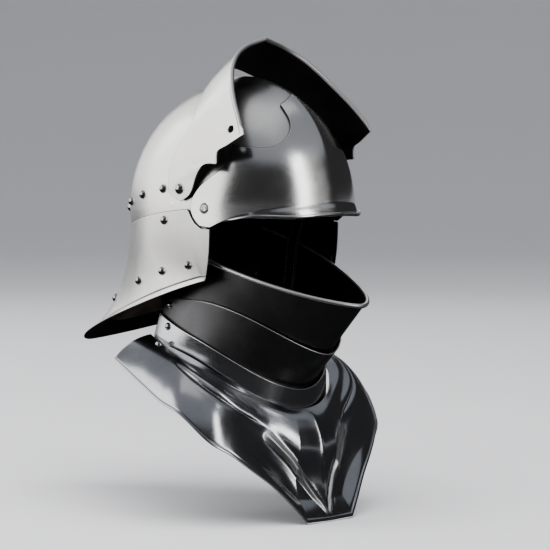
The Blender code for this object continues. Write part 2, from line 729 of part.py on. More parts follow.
def make_buckle(name, centre, along_strap, across, out, length, width):
    """A rounded rectangular frame of wire with its prong lying across it."""
    centre, along_strap, across, out = (Vector(value) for value in (centre, along_strap, across, out))
    wire = 1.4
    line = bpy.data.curves.new(name + "_frame", "CURVE")
    line.dimensions = "3D"
    line.bevel_depth = wire * MM
    line.bevel_resolution = 1
    path = line.splines.new("POLY")
    corners = []
    for a, b in ((1, 1), (-1, 1), (-1, -1), (1, -1)):
        for i in range(3):
            turn = math.atan2(b, a) + math.radians(40 * (i - 1))
            corners.append((a * (length / 2 - 3) + 3 * math.cos(turn),
                            b * (width / 2 - 3) + 3 * math.sin(turn)))
    path.points.add(len(corners) - 1)
    for point, (a, b) in zip(path.points, corners):
        point.co = (*((centre + along_strap * a + across * b) * MM), 1.0)
    path.use_cyclic_u = True
    frame = bpy.data.objects.new(name + "_frame", line)
    PARTS.objects.link(frame)
    line.materials.append(material(name + "_frame", STEEL, 1.0, 0.35))
    prong = bmesh.new()
    middle = centre + out * (wire * 2 + TOUCH_GAP)
    bmesh.ops.create_cone(prong, cap_ends=True, segments=8, radius1=wire * 0.9 * MM, radius2=wire * 0.5 * MM,
                          depth=(length + 3) * MM, matrix=axis_matrix(tuple(middle), tuple(-along_strap)))
    finish_object(name + "_prong", to_mesh(prong, name + "_prong"), (STEEL, 1.0, 0.35))


def make_straps(skull, lame_rivet_places):
    neck = strap_pair("neck_strap", NECK_STRAP, NECK_STRAP_END, (0, 0, 1), NECK_STRAP_WIDTH, BLACK_LEATHER)
    drill(list(neck), lame_rivet_places, 2.3, 30.0)
    make_buckle("neck_buckle", (0, 107.5, 70), (1, 0, 0), (0, 0, 1), (0, 1, 0), 18, 25)
    chin = strap_pair("chin_strap", CHIN_STRAP, CHIN_STRAP_END, (0, 1, 0), CHIN_STRAP_WIDTH, BLACK_LEATHER)
    make_buckle("chin_buckle", (0, -38, 68), (1, 0, 0), (0, 1, 0), (0, 0, -1), 18, 23)
    turn = math.acos(-(CHIN_STRAP_RIVET[0] - SKULL_Y) / SKULL_REAR)
    rise = rise_at(turn, CHIN_STRAP_RIVET[1])
    places = both_sides([(tuple(skull_point(turn, rise)), tuple(skull_normal(turn, rise)))])
    flush = turned([(0, -0.1), (1.9, -0.1), (1.9, -7.6), (4.2, -7.6), (3.6, -8.6), (0, -8.6)], 8)
    copies("chin_strap_rivet", flush, places, BRIGHT)
    drill([skull, *chin], places, 2.3)


def make_tail_pivots(skull, tail):
    mesh = rivet_mesh(5.0, 3.2, 2.2, SHEET * 2 + SLIDE_GAP + 0.3, 4.2, 1.4)
    point = on_sheet(tail_place, *TAIL_PIVOT)
    places = both_sides([(tuple(point), (1.0, 0.0, 0.0))])
    copies("tail_pivot", mesh, places, BRIGHT)
    drill([skull, tail], places, 2.6)


clear_scene()
PARTS = make_collection(COLLECTION)
CUTTERS = make_collection("cutters")

skull_shell = make_skull()
brow_plate = make_brow()
make_brow_screws(skull_shell, brow_plate)
make_visor()
pivot_places = make_visor_pivots(skull_shell)
tail_lame = make_tail()
make_tail_pivots(skull_shell, tail_lame)
bevor_plates = make_bevor_plates()
bevor_plates.append(make_gorget())
lame_rivet_places = make_lame_rivets(bevor_plates)
make_lining(skull_shell, tail_lame, pivot_places)
make_liner()
make_straps(skull_shell, lame_rivet_places)
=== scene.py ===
import functools
import math

import bmesh
import bpy
import numpy as np
from mathutils import Matrix, Vector


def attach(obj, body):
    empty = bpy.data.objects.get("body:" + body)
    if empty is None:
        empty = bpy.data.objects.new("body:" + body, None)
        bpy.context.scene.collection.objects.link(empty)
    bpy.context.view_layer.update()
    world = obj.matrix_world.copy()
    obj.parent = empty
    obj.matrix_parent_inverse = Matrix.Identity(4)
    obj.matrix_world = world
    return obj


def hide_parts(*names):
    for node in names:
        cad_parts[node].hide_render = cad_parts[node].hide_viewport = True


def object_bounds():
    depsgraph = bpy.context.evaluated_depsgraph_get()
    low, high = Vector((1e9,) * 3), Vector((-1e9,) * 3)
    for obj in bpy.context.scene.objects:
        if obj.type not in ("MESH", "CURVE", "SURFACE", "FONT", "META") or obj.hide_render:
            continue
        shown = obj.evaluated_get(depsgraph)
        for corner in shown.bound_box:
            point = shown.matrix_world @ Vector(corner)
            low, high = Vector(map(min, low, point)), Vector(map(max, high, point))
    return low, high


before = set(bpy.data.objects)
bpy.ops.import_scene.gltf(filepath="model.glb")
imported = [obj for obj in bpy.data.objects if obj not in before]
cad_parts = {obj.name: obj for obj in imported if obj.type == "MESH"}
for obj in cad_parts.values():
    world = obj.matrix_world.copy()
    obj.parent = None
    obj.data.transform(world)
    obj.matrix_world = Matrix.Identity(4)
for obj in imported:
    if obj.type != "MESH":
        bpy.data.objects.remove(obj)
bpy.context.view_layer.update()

MM = 0.001

# ---- sizes in millimetres and degrees, as in the CAD unless a comment says otherwise ----

SHEET = 1.6
BROW_SHEET = 2.0
GAP = 0.9
LEATHER = 2.0

SKULL_FRONT = 130.0
SKULL_REAR = 157.5
SKULL_HALF_WIDTH = 105.0
SKULL_HEIGHT = 142.0
SKULL_Y = -3.2
SKULL_Z = 180.5
SKULL_PITCH = math.radians(5.2)
RIDGE_HEIGHT = 5.6
RIDGE_FADE = 14.0
RIDGE_ROUND = 7.0
SKULL_FRONT_EDGE_Z = 191.0
SKULL_HEM = 20.0
SKULL_HEM_START = -54.0
SKULL_HEM_RUN = 18.0
COLUMN_EASE = 0.09
RISE_RANGE = (-0.9, 1.4)

BROW_PROUD = GAP + BROW_SHEET
BROW_RIM = [(71, -8.2), (64, -6.0), (54, -3.6), (42, -2.2), (28, -1.4), (14, -1.0), (0, -0.8)]
BROW_TOP = [(76, -7.6), (80, -3.2), (81, 1.2), (79.3, 5.6), (75.5, 9.6), (70, 13), (65, 15.8),
            (61, 18.6), (58.2, 22), (56.8, 28.6), (51, 26.8), (44, 25.8), (35.5, 25.2), (28, 27),
            (21.5, 31), (18, 35), (16.6, 40), (17.4, 48.5), (0, 53.5)]
BROW_CORNERS = (9, 17)
BROW_FLANGE = 7.5
BROW_FLANGE_DROP = 12.5
BROW_FLANGE_BOW = 0.16
# The flange fades out 6 degrees sooner than the CAD's, and is shorter by the bead that is added to it.
BROW_FLANGE_FADE = (66.0, 45.0)
BROW_BEAD = 2.8
BROW_BEAD_FADE = (72.0, 30.0)
BROW_ROLL = (0.35, 0.4, 190)
BROW_SCREW = (73.2, 0.0)
SCREW_RADIUS = 5.0
SCREW_SLOT_TURN = 38
SCREW_SLOT = (12, 1.1, 1.6)

PIVOT_Y = -8.0
PIVOT_Z = 205.0
VISOR_RIM = [(0, 165.5, 81.2), (14, 161.6, 81.6), (28, 157.2, 81.4), (42.5, 150.6, 79.8),
             (56, 142.6, 76.4), (67.5, 133.2, 71.6), (79, 122.6, 63.5), (88.5, 115.6, 53.5),
             (95.5, 112.2, 42.5), (100.5, 111.6, 33.5)]
VISOR_BACK = [(0, 137.5, 102.5), (14, 132.5, 101.6), (28, 126, 100.6), (42.5, 118.5, 99.4),
              (56, 110.5, 97.4), (68.5, 100.5, 94.8), (80.5, 90, 91), (90, 78, 87.3), (95.8, 67, 88),
              (101, 55.5, 92)]
# The arms stand up to 1.1 mm further out than the CAD's, to clear the brow plate as they swing.
ARM_FRONT = [(105.5, 88, 34.5), (108.1, 73, 35.5), (108.9, 65, 26.5), (109.2, 52, 34), (109.2, 41, 35.5),
             (109, 29.5, 28), (109, 21.5, 8), (109, 14, -42), (109, 13, -82)]
ARM_BACK = [(105.1, 43.5, 101), (106.6, 36, 109), (107.7, 28.5, 122), (108.3, 22, 142), (108.8, 18.3, 165),
            (109, 17, 185), (109, 15.5, 203), (109, 14, 217), (109, 13, 230)]
VISOR_CORNERS = (9, 12)
VISOR_FLATTEN = (3.0, 10.0)
VISOR_DEPTH = 75.0
VISOR_ROLL = (0.3, 0.55, 200)
VISOR_ROLL_END = 8.8
VISOR_GROOVE = (0.55, 4.2, 1.1)
VISOR_GROOVE_END = 9.5
VISOR_EDGE_FADE = 30
VISOR_SIDE_X = -102.0
PEG_HOLE = (98, 43)
PEG_HOLE_RADIUS = 4.2
PIVOT_X = 109.0

TAIL_FRONT_Y = -46.0
TAIL_HALF_WIDTH = 107.0
TAIL_WIDEST_Y = 10.0
TAIL_TIP_Y = 263.0
TAIL_POWER = 1.3
TAIL_FRONT_INSET = 6.5
TAIL_FRONT_Z = 107.0
TAIL_TIP_Z = 13.0
TAIL_FOOT_START = 5
TAIL_FOOT_EASE = 0.35
TAIL_FOOT_POWER = 1.15
TAIL_BEND = (0.15, 0.04, 0.6)
TAIL_DEPTH = 95.0
TAIL_FOLD = (2.4, 5.5)
TAIL_GROOVE = (0.6, 5.8, 0.9)
TAIL_PIVOT = (19.5, 169.5)
TAIL_NOTCH = [(-46, 161.3), (-35, 161.8), (-27, 167.5), (-21.5, 176), (-19, 182.3)]

CHIN_RIM = dict(plan=(85, 168, -14, 152, 1.27), z=132, slope=0.36, drop=-10, end=118)
MAIN_TOP = dict(plan=(88, 126, -6, 152, 1.15), z=80.5, slope=0.0, drop=58, end=118)
COLLAR_TOP = dict(plan=(93, 87, -6, 134, 1.06), z=42, slope=0.33, drop=32, end=118)
GORGET_TOP = dict(plan=(97, 103, 8, 115, 0.95), z=24.5, slope=0.25, drop=38, end=118)
PLATE_LAP_FRONT = 12.0
PLATE_LAP_REAR = 17.0
LAP_START = 0.75
PLATE_STEP = 4.2
BEVOR_ROLL = (0.9, 235)
LAME_RIVET_PLACES = {"upper_lame_rivet": (0.926, 0.23), "collar_rivet": (0.904, 0.16),
                     "gorget_rivet": (0.876, 0.085)}
GORGET_FOOT = [(0, -134.5, -161), (35.5, -134, -160), (52, -127, -140), (72, -117, -118),
               (94, -106, -99), (114.5, -94, -81), (134, -79, -66), (148, -50, -38), (151, -22, -26),
               (148.5, 7, -12), (144, 34, 0), (138, 68, 15)]
GORGET_CORNERS = (1,)
GORGET_BEND = (0.62, 0.16)
GORGET_PROW = 10
GORGET_DEPTH = 120.0
GORGET_SIDE_HOLLOW = 20.0
GORGET_SIDE_END = 0.55
GORGET_EDGE_FADE = 0.12
GORGET_PROW_HOLLOW = (15.0, 0.12, 0.12, 0.78, 0.15)
FLUTE = [(60, -98, -65), (49, -104, -78), (37, -111, -93), (28, -115, -108), (19, -119, -123),
         (10, -125, -138), (3, -131, -150)]
FLUTE_WIDTH = (3.6, 1.8)
FLUTE_HEIGHT = (4.6, 3.0)
FLUTE_DITCH = 0.7
FLUTE_ENDS = (0.04, 0.94)
FLUTE_FULLNESS = 0.55
FLUTE_REACH = 14
KEEL_HEIGHT = 2.4
KEEL_SHARPNESS = 4.5
KEEL_TOP = (-40, 14)
KEEL_FOOT = (-128, 40)
NECK_SWELL = (1.0, 0.16, 0.075)
NECK_SWELL_FADE = (0.78, 0.2)
BORDER_HEIGHT = 0.75
BORDER_WIDTH = 1.6
BORDER_LINE = (0.3, 3.6, 0.8)
BORDER_DEPTH = 130.0
CREASE = [(0.27, 0.47), (0.34, 0.472), (0.40, 0.474), (0.46, 0.472), (0.52, 0.455), (0.58, 0.437),
          (0.64, 0.41), (0.70, 0.36), (0.76, 0.27)]
CREASE_START = (0.24, 0.1)
CREASE_END = (0.74, 0.14)
CREASE_DEPTH = 2.0
CREASE_SHARPNESS = 2.2
CREASE_BANKS = ((1.5, -10, 8), (0.5, 9, 7))

# Head radius, head height, shank radius and burr radius of each kind of rivet.
LINING_RIVET = (5.0, 4.0, 1.9, 3.4)
LAME_RIVET = (4.4, 3.2, 1.8, 3.2)
TAIL_PIVOT_RIVET = (5.2, 3.9, 2.2, 4.2)
VISOR_PIVOT_RIVET = (6.2, 4.2, 3.0, 6.0)

BAND_STEP = 26.5
BAND_WIDTH = 15.0
BAND_TURNS = (100, 117, 134, 151, 168)
TAIL_BAND = (0.74, 0.64)
TAIL_BAND_HALF = 0.085
TAIL_BAND_Y = (-18, 25, 74, 150)
LINER_DEPTH = 9.0
LINER_THICKNESS = 9.0
LINER_SEAM = 3.4
LINER_CHANNELS = 15
LINER_ROWS = 4.0
THREAD_RADIUS = 0.42
THREAD_LIFT = 0.12
THREAD_SIDES = 6
BAND_STITCHES = 88

STRAP_THICKNESS = 2.4
STRAP_STEP = 2.5
STRAP_POINT = (0.95, 0.052)
STITCH_PITCH = 4.0
NECK_STRAP_WIDTH = 18.0
NECK_STRAP = [(77.6, 28.5, 71.5), (75.2, 38.5, 71.5), (71.6, 50, 71.5), (64, 66, 71.5), (52, 82, 71.5),
              (38, 95, 71), (24, 102.5, 70.5), (11, 106, 70)]
NECK_STRAP_END = [(-25, 103, 70), (-8, 103.5, 70), (10, 100.5, 70), (26, 97, 70), (38, 91, 70.5)]
CHIN_STRAP_WIDTH = 16.0
CHIN_STRAP = [(100.4, 8, 196), (100.4, 8, 182), (95, 6, 163), (76, -2, 138), (62, -12, 114),
              (45, -25, 91), (27, -34, 75), (11, -38, 70)]
CHIN_STRAP_END = [(-27, -34, 75), (-8, -38, 72.6), (10, -38, 75.5), (25, -35.5, 81.5), (36, -30, 90)]
CHIN_STRAP_RIVET = (8, 189)

NECK_BUCKLE = (18, 25)
CHIN_BUCKLE = (18, 23)
BUCKLE_WIRE = 1.4
BUCKLE_CORNER = 3

STAGE_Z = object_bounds()[0].z - 0.0004
SIDES = ((1, "left"), (-1, "right"))

# Degrees, metres and millimetres of lens.
CAMERA_AZIMUTH = -45.0
CAMERA_ELEVATION = 4.2
CAMERA_DISTANCE = 3.3
CAMERA_HEIGHT = 0.2
CAMERA_RIGHT = 0.0338
CAMERA_DOWN = 0.0958
CAMERA_LENS = 191.6
LIGHT_HEIGHT = 0.15


# ---- curves and sheets ----

def mix(a, b, t):
    return a + (b - a) * t


def smooth(t):
    t = min(max(t, 0.0), 1.0)
    return t * t * (3 - 2 * t)


def rising(value, start, width):
    return smooth((value - start) / width)


def fading(value, end, width):
    return smooth((end - value) / width)


def hump(value, height, middle, width):
    return height * math.exp(-((value - middle) / width) ** 2)


def curved(start, bend, end, t):
    return start * (1 - t) ** 2 + bend * 2 * t * (1 - t) + end * t * t


def run(points, t, corners=()):
    """A smooth curve through the points, a fraction t of the way along, with sharp corners where named."""
    place = min(max(t, 0.0), 1.0) * (len(points) - 1)
    i = min(int(place), len(points) - 2)
    t = place - i
    p1, p2 = np.array(points[i], float), np.array(points[i + 1], float)
    p0 = np.array(points[i - 1], float) if i and i not in corners else 2 * p1 - p2
    last = i + 2 >= len(points) or i + 1 in corners
    p3 = 2 * p2 - p1 if last else np.array(points[i + 2], float)
    return 0.5 * (2 * p1 + (p2 - p0) * t + (2 * p0 - 5 * p1 + 4 * p2 - p3) * t * t
                  + (3 * p1 - 3 * p2 + p3 - p0) * t ** 3)


def unit(a):
    return a / np.maximum(np.linalg.norm(a, axis=-1, keepdims=True), 1e-9)


def grid_normals(grid, closed, flip):
    """Outward normals of a grid of points, one per point."""
    if closed:
        padded = np.concatenate([grid[-1:], grid, grid[:1]])
        along_u = padded[2:] - padded[:-2]
    else:
        along_u = np.gradient(grid, axis=0)
    along_v = np.gradient(grid, axis=1)
    return unit(np.cross(along_u, along_v)) * (-1.0 if flip else 1.0)


def add_roll(grid, normals, roll):
    """Curls the first edge of a sheet outwards into a bead: roll gives radius and sweep for each column."""
    edge, normal = grid[:, 0], normals[:, 0]
    away = unit(edge - grid[:, 1])
    radius = np.array([r for r, _ in roll])[:, None]
    sweep = np.radians([a for _, a in roll])[:, None]
    steps = 12
    rows, tops = [], []
    for k in range(steps, 0, -1):
        turn = sweep * k / steps
        out = away * np.sin(turn) - normal * np.cos(turn)
        rows.append(edge + normal * radius + out * radius)
        tops.append(-out)
    grid = np.concatenate([np.stack(rows, axis=1), grid], axis=1)
    return grid, np.concatenate([np.stack(tops, axis=1), normals], axis=1)


def perimeter(columns, rows, closed, pole):
    """Loops of (i, j, di, dj) round a grid; di and dj point out of it."""
    first = [(i, 0, 0, -1) for i in range(columns)]
    last = [(i, rows - 1, 0, 1) for i in range(columns - 1, -1, -1)]
    if closed:
        return [first] if pole else [first, last]
    right = [(columns - 1, j, 1, 0) for j in range(rows)]
    left = [(0, j, -1, 0) for j in range(rows - 1, -1, -1)]
    loop = first[:-1] + [(columns - 1, 0, 1, -1)] + right[1:-1] + [(columns - 1, rows - 1, 1, 1)]
    loop += last[1:-1] + [(0, rows - 1, -1, 1)] + left[1:-1]
    loop[0] = (0, 0, -1, -1)
    return [loop]


def add(name, data):
    thing = bpy.data.objects.new(name, data)
    bpy.context.scene.collection.objects.link(thing)
    return thing


def build(name, points, faces, tags=None):
    mesh = bpy.data.meshes.new(name)
    mesh.from_pydata([tuple(p * MM) for p in points], [], faces)
    if tags:
        mesh.polygons.foreach_set("material_index", tags)
    mesh.validate()
    cage = bmesh.new()
    cage.from_mesh(mesh)
    bmesh.ops.remove_doubles(cage, verts=cage.verts, dist=2e-6)
    bmesh.ops.recalc_face_normals(cage, faces=cage.faces)
    cage.to_mesh(mesh)
    cage.free()
    mesh.shade_smooth()
    return add(name, mesh)


def sheet(name, place, us, vs, thick, seam="start", relief=None, roll=None, pole=False):
    """Sheet with real thickness and rounded edges, from the outer face place(u, v) of the left half.

    seam says which ends of the u range lie on the plane of symmetry: start, end, both, or None for a
    sheet that isn't mirrored. Faces are tagged 0 outside, 1 inside, 2 along the edges and 3 on a roll.
    """
    half = np.array([[np.array(place(u, v), float) for v in vs] for u in us])
    other = half[::-1] * np.array([-1.0, 1.0, 1.0])
    closed = seam == "both"
    us, back = list(us), list(us[::-1])
    if seam == "start":
        grid, columns_u = np.concatenate([other[:-1], half]), back[:-1] + us
    elif seam == "end":
        grid, columns_u = np.concatenate([half, other[1:]]), us + back[1:]
    elif closed:
        grid, columns_u = np.concatenate([half, other[1:-1]]), us + back[1:-1]
    else:
        grid, columns_u = half, us
    normals = grid_normals(grid, closed, False)
    side = grid[..., 0] * normals[..., 0]
    flip = side.sum() < 0 if seam else False
    if flip:
        normals = -normals
    if relief:
        lift = np.array([[relief(u, v, grid[i, j]) for j, v in enumerate(vs)]
                         for i, u in enumerate(columns_u)])
        grid = grid + normals * lift[..., None]
        normals = grid_normals(grid, closed, flip)
    rolled = 0
    if roll:
        rolled = grid.shape[1]
        grid, normals = add_roll(grid, normals, [roll(u) for u in columns_u])
        rolled = grid.shape[1] - rolled
    columns, rows = grid.shape[:2]
    if callable(thick):
        depth = np.array([[thick(u, v) for v in vs] for u in columns_u])[..., None]
    else:
        depth = thick
    inner = grid - normals * depth
    points = list(grid.reshape(-1, 3)) + list(inner.reshape(-1, 3))
    count = columns * rows
    faces, tags = [], []
    for i in range(columns if closed else columns - 1):
        n = (i + 1) % columns
        for j in range(rows - 1):
            quad = (i * rows + j, n * rows + j, n * rows + j + 1, i * rows + j + 1)
            faces.append(quad)
            faces.append(tuple(k + count for k in quad[::-1]))
            tags += [3, 3] if j < rolled else [0, 1]
    for loop in perimeter(columns, rows, closed, pole):
        rims = []
        for i, j, di, dj in loop:
            away = np.zeros(3)
            if di:
                away = away + unit(grid[i, j] - grid[i - di, j])
            if dj:
                away = away + unit(grid[i, j] - grid[i, j - dj])
            half_depth = (depth if np.isscalar(depth) else depth[i, j, 0]) / 2
            middle = grid[i, j] - normals[i, j] * half_depth
            ring = [i * rows + j]
            for turn in (45, 90, 135):
                a = math.radians(turn)
                ring.append(len(points))
                points.append(middle + (normals[i, j] * math.cos(a) + unit(away) * math.sin(a)) * half_depth)
            ring.append(i * rows + j + count)
            rims.append((ring, 3 if rolled and j == 0 else 2))
        for (a, tag), (b, _) in zip(rims, rims[1:] + rims[:1]):
            for k in range(4):
                faces.append((a[k], a[k + 1], b[k + 1], b[k]))
                tags.append(tag)
    return build(name, points, faces, tags)


def spread(n, start=0.0, end=1.0, dense=()):
    """n + 1 numbers from start to end, closer together round each (place, width, strength) in dense."""
    fine = np.linspace(start, end, 2001)
    weight = np.ones_like(fine)
    for place, width, strength in dense:
        weight += strength * np.exp(-((fine - place) / width) ** 2)
    total = np.concatenate([[0], np.cumsum((weight[1:] + weight[:-1]) / 2)])
    return np.interp(np.linspace(0, total[-1], n + 1), total, fine)


def lathe(name, profile, point, direction, steps=28, squash=1.0):
    """A turned piece: profile of (radius, height) from the top down, standing at a point on its axis."""
    turn = Vector(direction).to_track_quat("Z", "Y").to_matrix()
    points, faces = [], []
    for r, h in profile:
        for k in range(steps):
            a = 2 * math.pi * k / steps
            offset = turn @ Vector((r * math.cos(a), r * math.sin(a) * squash, h))
            points.append(np.array(point, float) + np.array(offset))
    for j in range(len(profile) - 1):
        for k in range(steps):
            n = (k + 1) % steps
            faces.append((j * steps + k, (j + 1) * steps + k, (j + 1) * steps + n, j * steps + n))
    thing = build(name, points, faces)
    thing.data.set_sharp_from_angle(angle=math.radians(50))
    return thing


def dome(radius, rise, count=8):
    """Profile of a domed head, from its top down to its edge at height 0."""
    ball = (radius * radius + rise * rise) / (2 * rise)
    widest = math.asin(min(radius / ball, 1.0))
    return [(ball * math.sin(widest * k / count), ball * math.cos(widest * k / count) - ball + rise)
            for k in range(count + 1)]


def cut(thing, tool):
    """Cuts tool out of thing and removes it."""
    hole = thing.modifiers.new("Hole", "BOOLEAN")
    hole.solver = "EXACT"
    hole.object = tool
    graph = bpy.context.evaluated_depsgraph_get()
    mesh = bpy.data.meshes.new_from_object(thing.evaluated_get(graph))
    thing.modifiers.clear()
    thing.data = mesh
    bpy.data.objects.remove(tool, do_unlink=True)


# ---- surfaces ----

def skull_point(turn, rise, proud=0.0):
    length = (SKULL_FRONT if math.cos(turn) > 0 else SKULL_REAR) + proud
    ring = math.cos(max(rise, 0.0))
    x = (SKULL_HALF_WIDTH + proud) * math.sin(turn) * ring
    y = -length * math.cos(turn) * ring
    z = (SKULL_HEIGHT + proud) * (math.sin(rise) if rise > 0 else rise)
    out = math.sqrt(x * x + y * y + max(z, 0.0) ** 2)
    keel = math.sqrt(x * x + RIDGE_ROUND ** 2) - RIDGE_ROUND
    swell = 1.0 + RIDGE_HEIGHT * math.exp(-keel / RIDGE_FADE) / max(out, 1.0)
    x, y = x * swell, y * swell
    z = z * swell if z > 0 else z
    c, s = math.cos(SKULL_PITCH), math.sin(SKULL_PITCH)
    x = 0.0 if abs(x) < 1e-6 else x
    return Vector((x, y * c + z * s + SKULL_Y, -y * s + z * c + SKULL_Z))


def skull_normal(turn, rise):
    step = 0.01
    side = skull_point(turn + step, rise) - skull_point(turn - step, rise)
    up = skull_point(turn, rise + step) - skull_point(turn, rise - step)
    return side.cross(up).normalized()


def lame_top_z(y):
    return 180.5 - 0.11 * y - 0.0008 * y * y


def notched_top_z(y):
    for (y0, z0), (y1, z1) in zip(TAIL_NOTCH, TAIL_NOTCH[1:]):
        if y < y1:
            return mix(z0, z1, max((y - y0) / (y1 - y0), 0.0))
    return lame_top_z(y)


def halve(low, high, short):
    """The value between low and high at which short(value) stops being true."""
    for _ in range(36):
        middle = (low + high) / 2
        if short(middle):
            low = middle
        else:
            high = middle
    return (low + high) / 2


@functools.lru_cache(maxsize=None)
def rise_at(turn, height, proud=0.0):
    """The rise at which the skull's face reaches a height."""
    return halve(*RISE_RANGE, lambda rise: skull_point(turn, rise, proud).z < height)


def skull_foot_rise(turn):
    y = skull_point(turn, 0.0).y
    hidden = min(notched_top_z(y) - SKULL_HEM / 3, lame_top_z(y) - SKULL_HEM)
    return rise_at(turn, mix(SKULL_FRONT_EDGE_Z, hidden, rising(y, SKULL_HEM_START, SKULL_HEM_RUN)))


def eased_turn(t):
    return math.pi * (t - COLUMN_EASE * math.sin(2 * math.pi * t))


def skull_place(u, v):
    turn = eased_turn(u)
    return skull_point(turn, mix(skull_foot_rise(turn), math.pi / 2, v))


def brow_point(turn, rise, proud=BROW_PROUD):
    return skull_point(math.radians(turn), math.radians(rise), proud)


def brow_place(u, v):
    """v is below 0 on the flange, 0 at its root, and runs up to 1 at the plate's upper outline."""
    turn, rise = run(BROW_RIM, u)
    if v < 0:
        lip = -v * fading(turn, *BROW_FLANGE_FADE)
        here = brow_point(turn, rise)
        out = Vector((here.x, here.y - SKULL_Y, 0)).normalized()
        bow = BROW_FLANGE_BOW * math.sin(math.pi * -v)
        reach = BROW_FLANGE * lip + BROW_BEAD * v * fading(turn, *BROW_BEAD_FADE)
        return here + out * reach - Vector((0, 0, BROW_FLANGE_DROP)) * lip * (1 - bow)
    top_turn, top_rise = run(BROW_TOP, u, BROW_CORNERS)
    return brow_point(mix(turn, top_turn, v), mix(rise, top_rise, v))


def polar_point(x, radius, angle):
    a = math.radians(angle)
    return Vector((x, PIVOT_Y - radius * math.cos(a), PIVOT_Z + radius * math.sin(a)))


def visor_place(u, v):
    """u runs from the keel out to the pivot, and v from the front rim to the back edge."""
    front = run(VISOR_RIM + ARM_FRONT, u, VISOR_CORNERS)
    back = run(VISOR_BACK + ARM_BACK, u)
    column = u * (len(VISOR_RIM) + len(ARM_FRONT) - 1)
    round_way = polar_point(*[mix(a, b, v) for a, b in zip(front, back)])
    straight = polar_point(*front).lerp(polar_point(*back), v)
    start, end = VISOR_FLATTEN
    return round_way.lerp(straight, rising(column, start, end - start))


def tail_foot(y):
    t = (y - TAIL_FRONT_Y) / (TAIL_TIP_Y - TAIL_FRONT_Y)
    height = mix(TAIL_FRONT_Z, TAIL_TIP_Z, t)
    if y <= TAIL_WIDEST_Y:
        inset = (TAIL_WIDEST_Y - y) / (TAIL_WIDEST_Y - TAIL_FRONT_Y)
        return TAIL_HALF_WIDTH - TAIL_FRONT_INSET * inset * inset, height
    back = min((y - TAIL_WIDEST_Y) / (TAIL_TIP_Y - TAIL_WIDEST_Y), 1.0)
    return TAIL_HALF_WIDTH * (1 - back ** (2 / TAIL_POWER)) ** (TAIL_POWER / 2), height


def tail_place(u, v):
    """u runs from the front edge to the tip of the tail, and v from the upper edge down to the rim."""
    proud = GAP + SHEET
    start = math.acos(-(TAIL_FRONT_Y - SKULL_Y) / (SKULL_FRONT + proud))
    turn = mix(start, math.pi, u)
    wall = skull_point(turn, 0.0, proud)
    top = skull_point(turn, rise_at(turn, notched_top_z(wall.y), proud), proud)
    angle = smooth(u) * TAIL_FOOT_EASE + u * (1 - TAIL_FOOT_EASE)
    along = 1 - math.cos(angle * math.pi / 2) ** TAIL_FOOT_POWER
    foot_y = mix(TAIL_FRONT_Y + TAIL_FOOT_START, TAIL_TIP_Y, along)
    half, height = tail_foot(foot_y)
    half = 0.0 if u > 0.9999 else half
    foot = Vector((half, foot_y, height))
    bend = Vector([mix(a, b, t) for a, b, t in zip(top, foot, TAIL_BEND)])
    return curved(top, bend, foot, v)


def bevor_ring(ring, u, inset=0.0):
    half, front, middle, back, power = ring["plan"]
    angle = math.radians(ring["end"]) * u
    sine, cosine = math.sin(angle), math.cos(angle)
    x = (half - inset) * sine ** power if sine > 1e-9 else 0.0
    reach = (front if cosine > 0 else back) - inset
    y = middle - reach * math.copysign(abs(cosine) ** power, cosine)
    forward = max(middle - y, 0.0) / front
    return Vector((x, y, ring["z"] - ring["slope"] * (middle - y) - ring["drop"] * forward ** 2))


def bevor_place(top, below, last, u, v):
    a = bevor_ring(top, u)
    b = bevor_ring(below, u, PLATE_STEP)
    if v <= LAP_START:
        return a.lerp(b, v / LAP_START)
    lap = mix(PLATE_LAP_FRONT, PLATE_LAP_REAR, u)
    down = bevor_ring(last, u, PLATE_STEP * 2) - b if last else Vector((0, 0, -1))
    return b + down.normalized() * lap * (v - LAP_START) / (1 - LAP_START)


def gorget_place(u, v):
    """u runs from the middle of the chest round to the nape, and v from the neck down to the outline."""
    top = bevor_ring(GORGET_TOP, u)
    foot = Vector(run(GORGET_FOOT, u, GORGET_CORNERS))
    hollow = GORGET_SIDE_HOLLOW * math.sin(math.pi * min(u / GORGET_SIDE_END, 1.0)) ** 2
    out, down = GORGET_BEND
    bend = Vector((mix(top.x, foot.x, out), mix(top.y, foot.y, out) - GORGET_PROW * (1 - u) + hollow,
                   mix(top.z, foot.z, down)))
    depth, u_middle, u_spread, v_middle, v_spread = GORGET_PROW_HOLLOW
    away = ((u - u_middle) / u_spread) ** 2 + ((v - v_middle) / v_spread) ** 2
    drawn_in = depth * math.exp(-away / 2) * min((1 - v) / GORGET_EDGE_FADE, 1.0)
    return curved(top, bend, foot, v) + Vector((0, drawn_in, 0))


def sheet_normal(place, u, v):
    step = 0.01
    u, v = min(max(u, step), 1 - step), min(max(v, step), 1 - step)
    side = Vector(place(u + step, v)) - Vector(place(u - step, v))
    up = Vector(place(u, v + step)) - Vector(place(u, v - step))
    normal = side.cross(up).normalized()
    return -normal if normal.x < 0 else normal


def on_sheet(place, y, z):
    u, v, reach = 0.5, 0.5, 0.5
    for _ in range(16):
        tries = [(min(max(u + i * reach, 0.0), 1.0), min(max(v + j * reach, 0.0), 1.0))
                 for i in (-1, -0.5, 0, 0.5, 1) for j in (-1, -0.5, 0, 0.5, 1)]
        u, v = min(tries, key=lambda t: math.hypot(place(*t).y - y, place(*t).z - z))
        reach *= 0.6
    return place(u, v)


# ---- materials ----

LOOKS = {}


def new_material(name):
    """Starts a material under its name in LOOKS, and gives its tree, shader and object coordinates."""
    LOOKS[name] = bpy.data.materials.new(name)
    LOOKS[name].use_nodes = True
    tree = LOOKS[name].node_tree
    return tree, tree.nodes["Principled BSDF"], tree.nodes.new("ShaderNodeTexCoord").outputs["Object"]


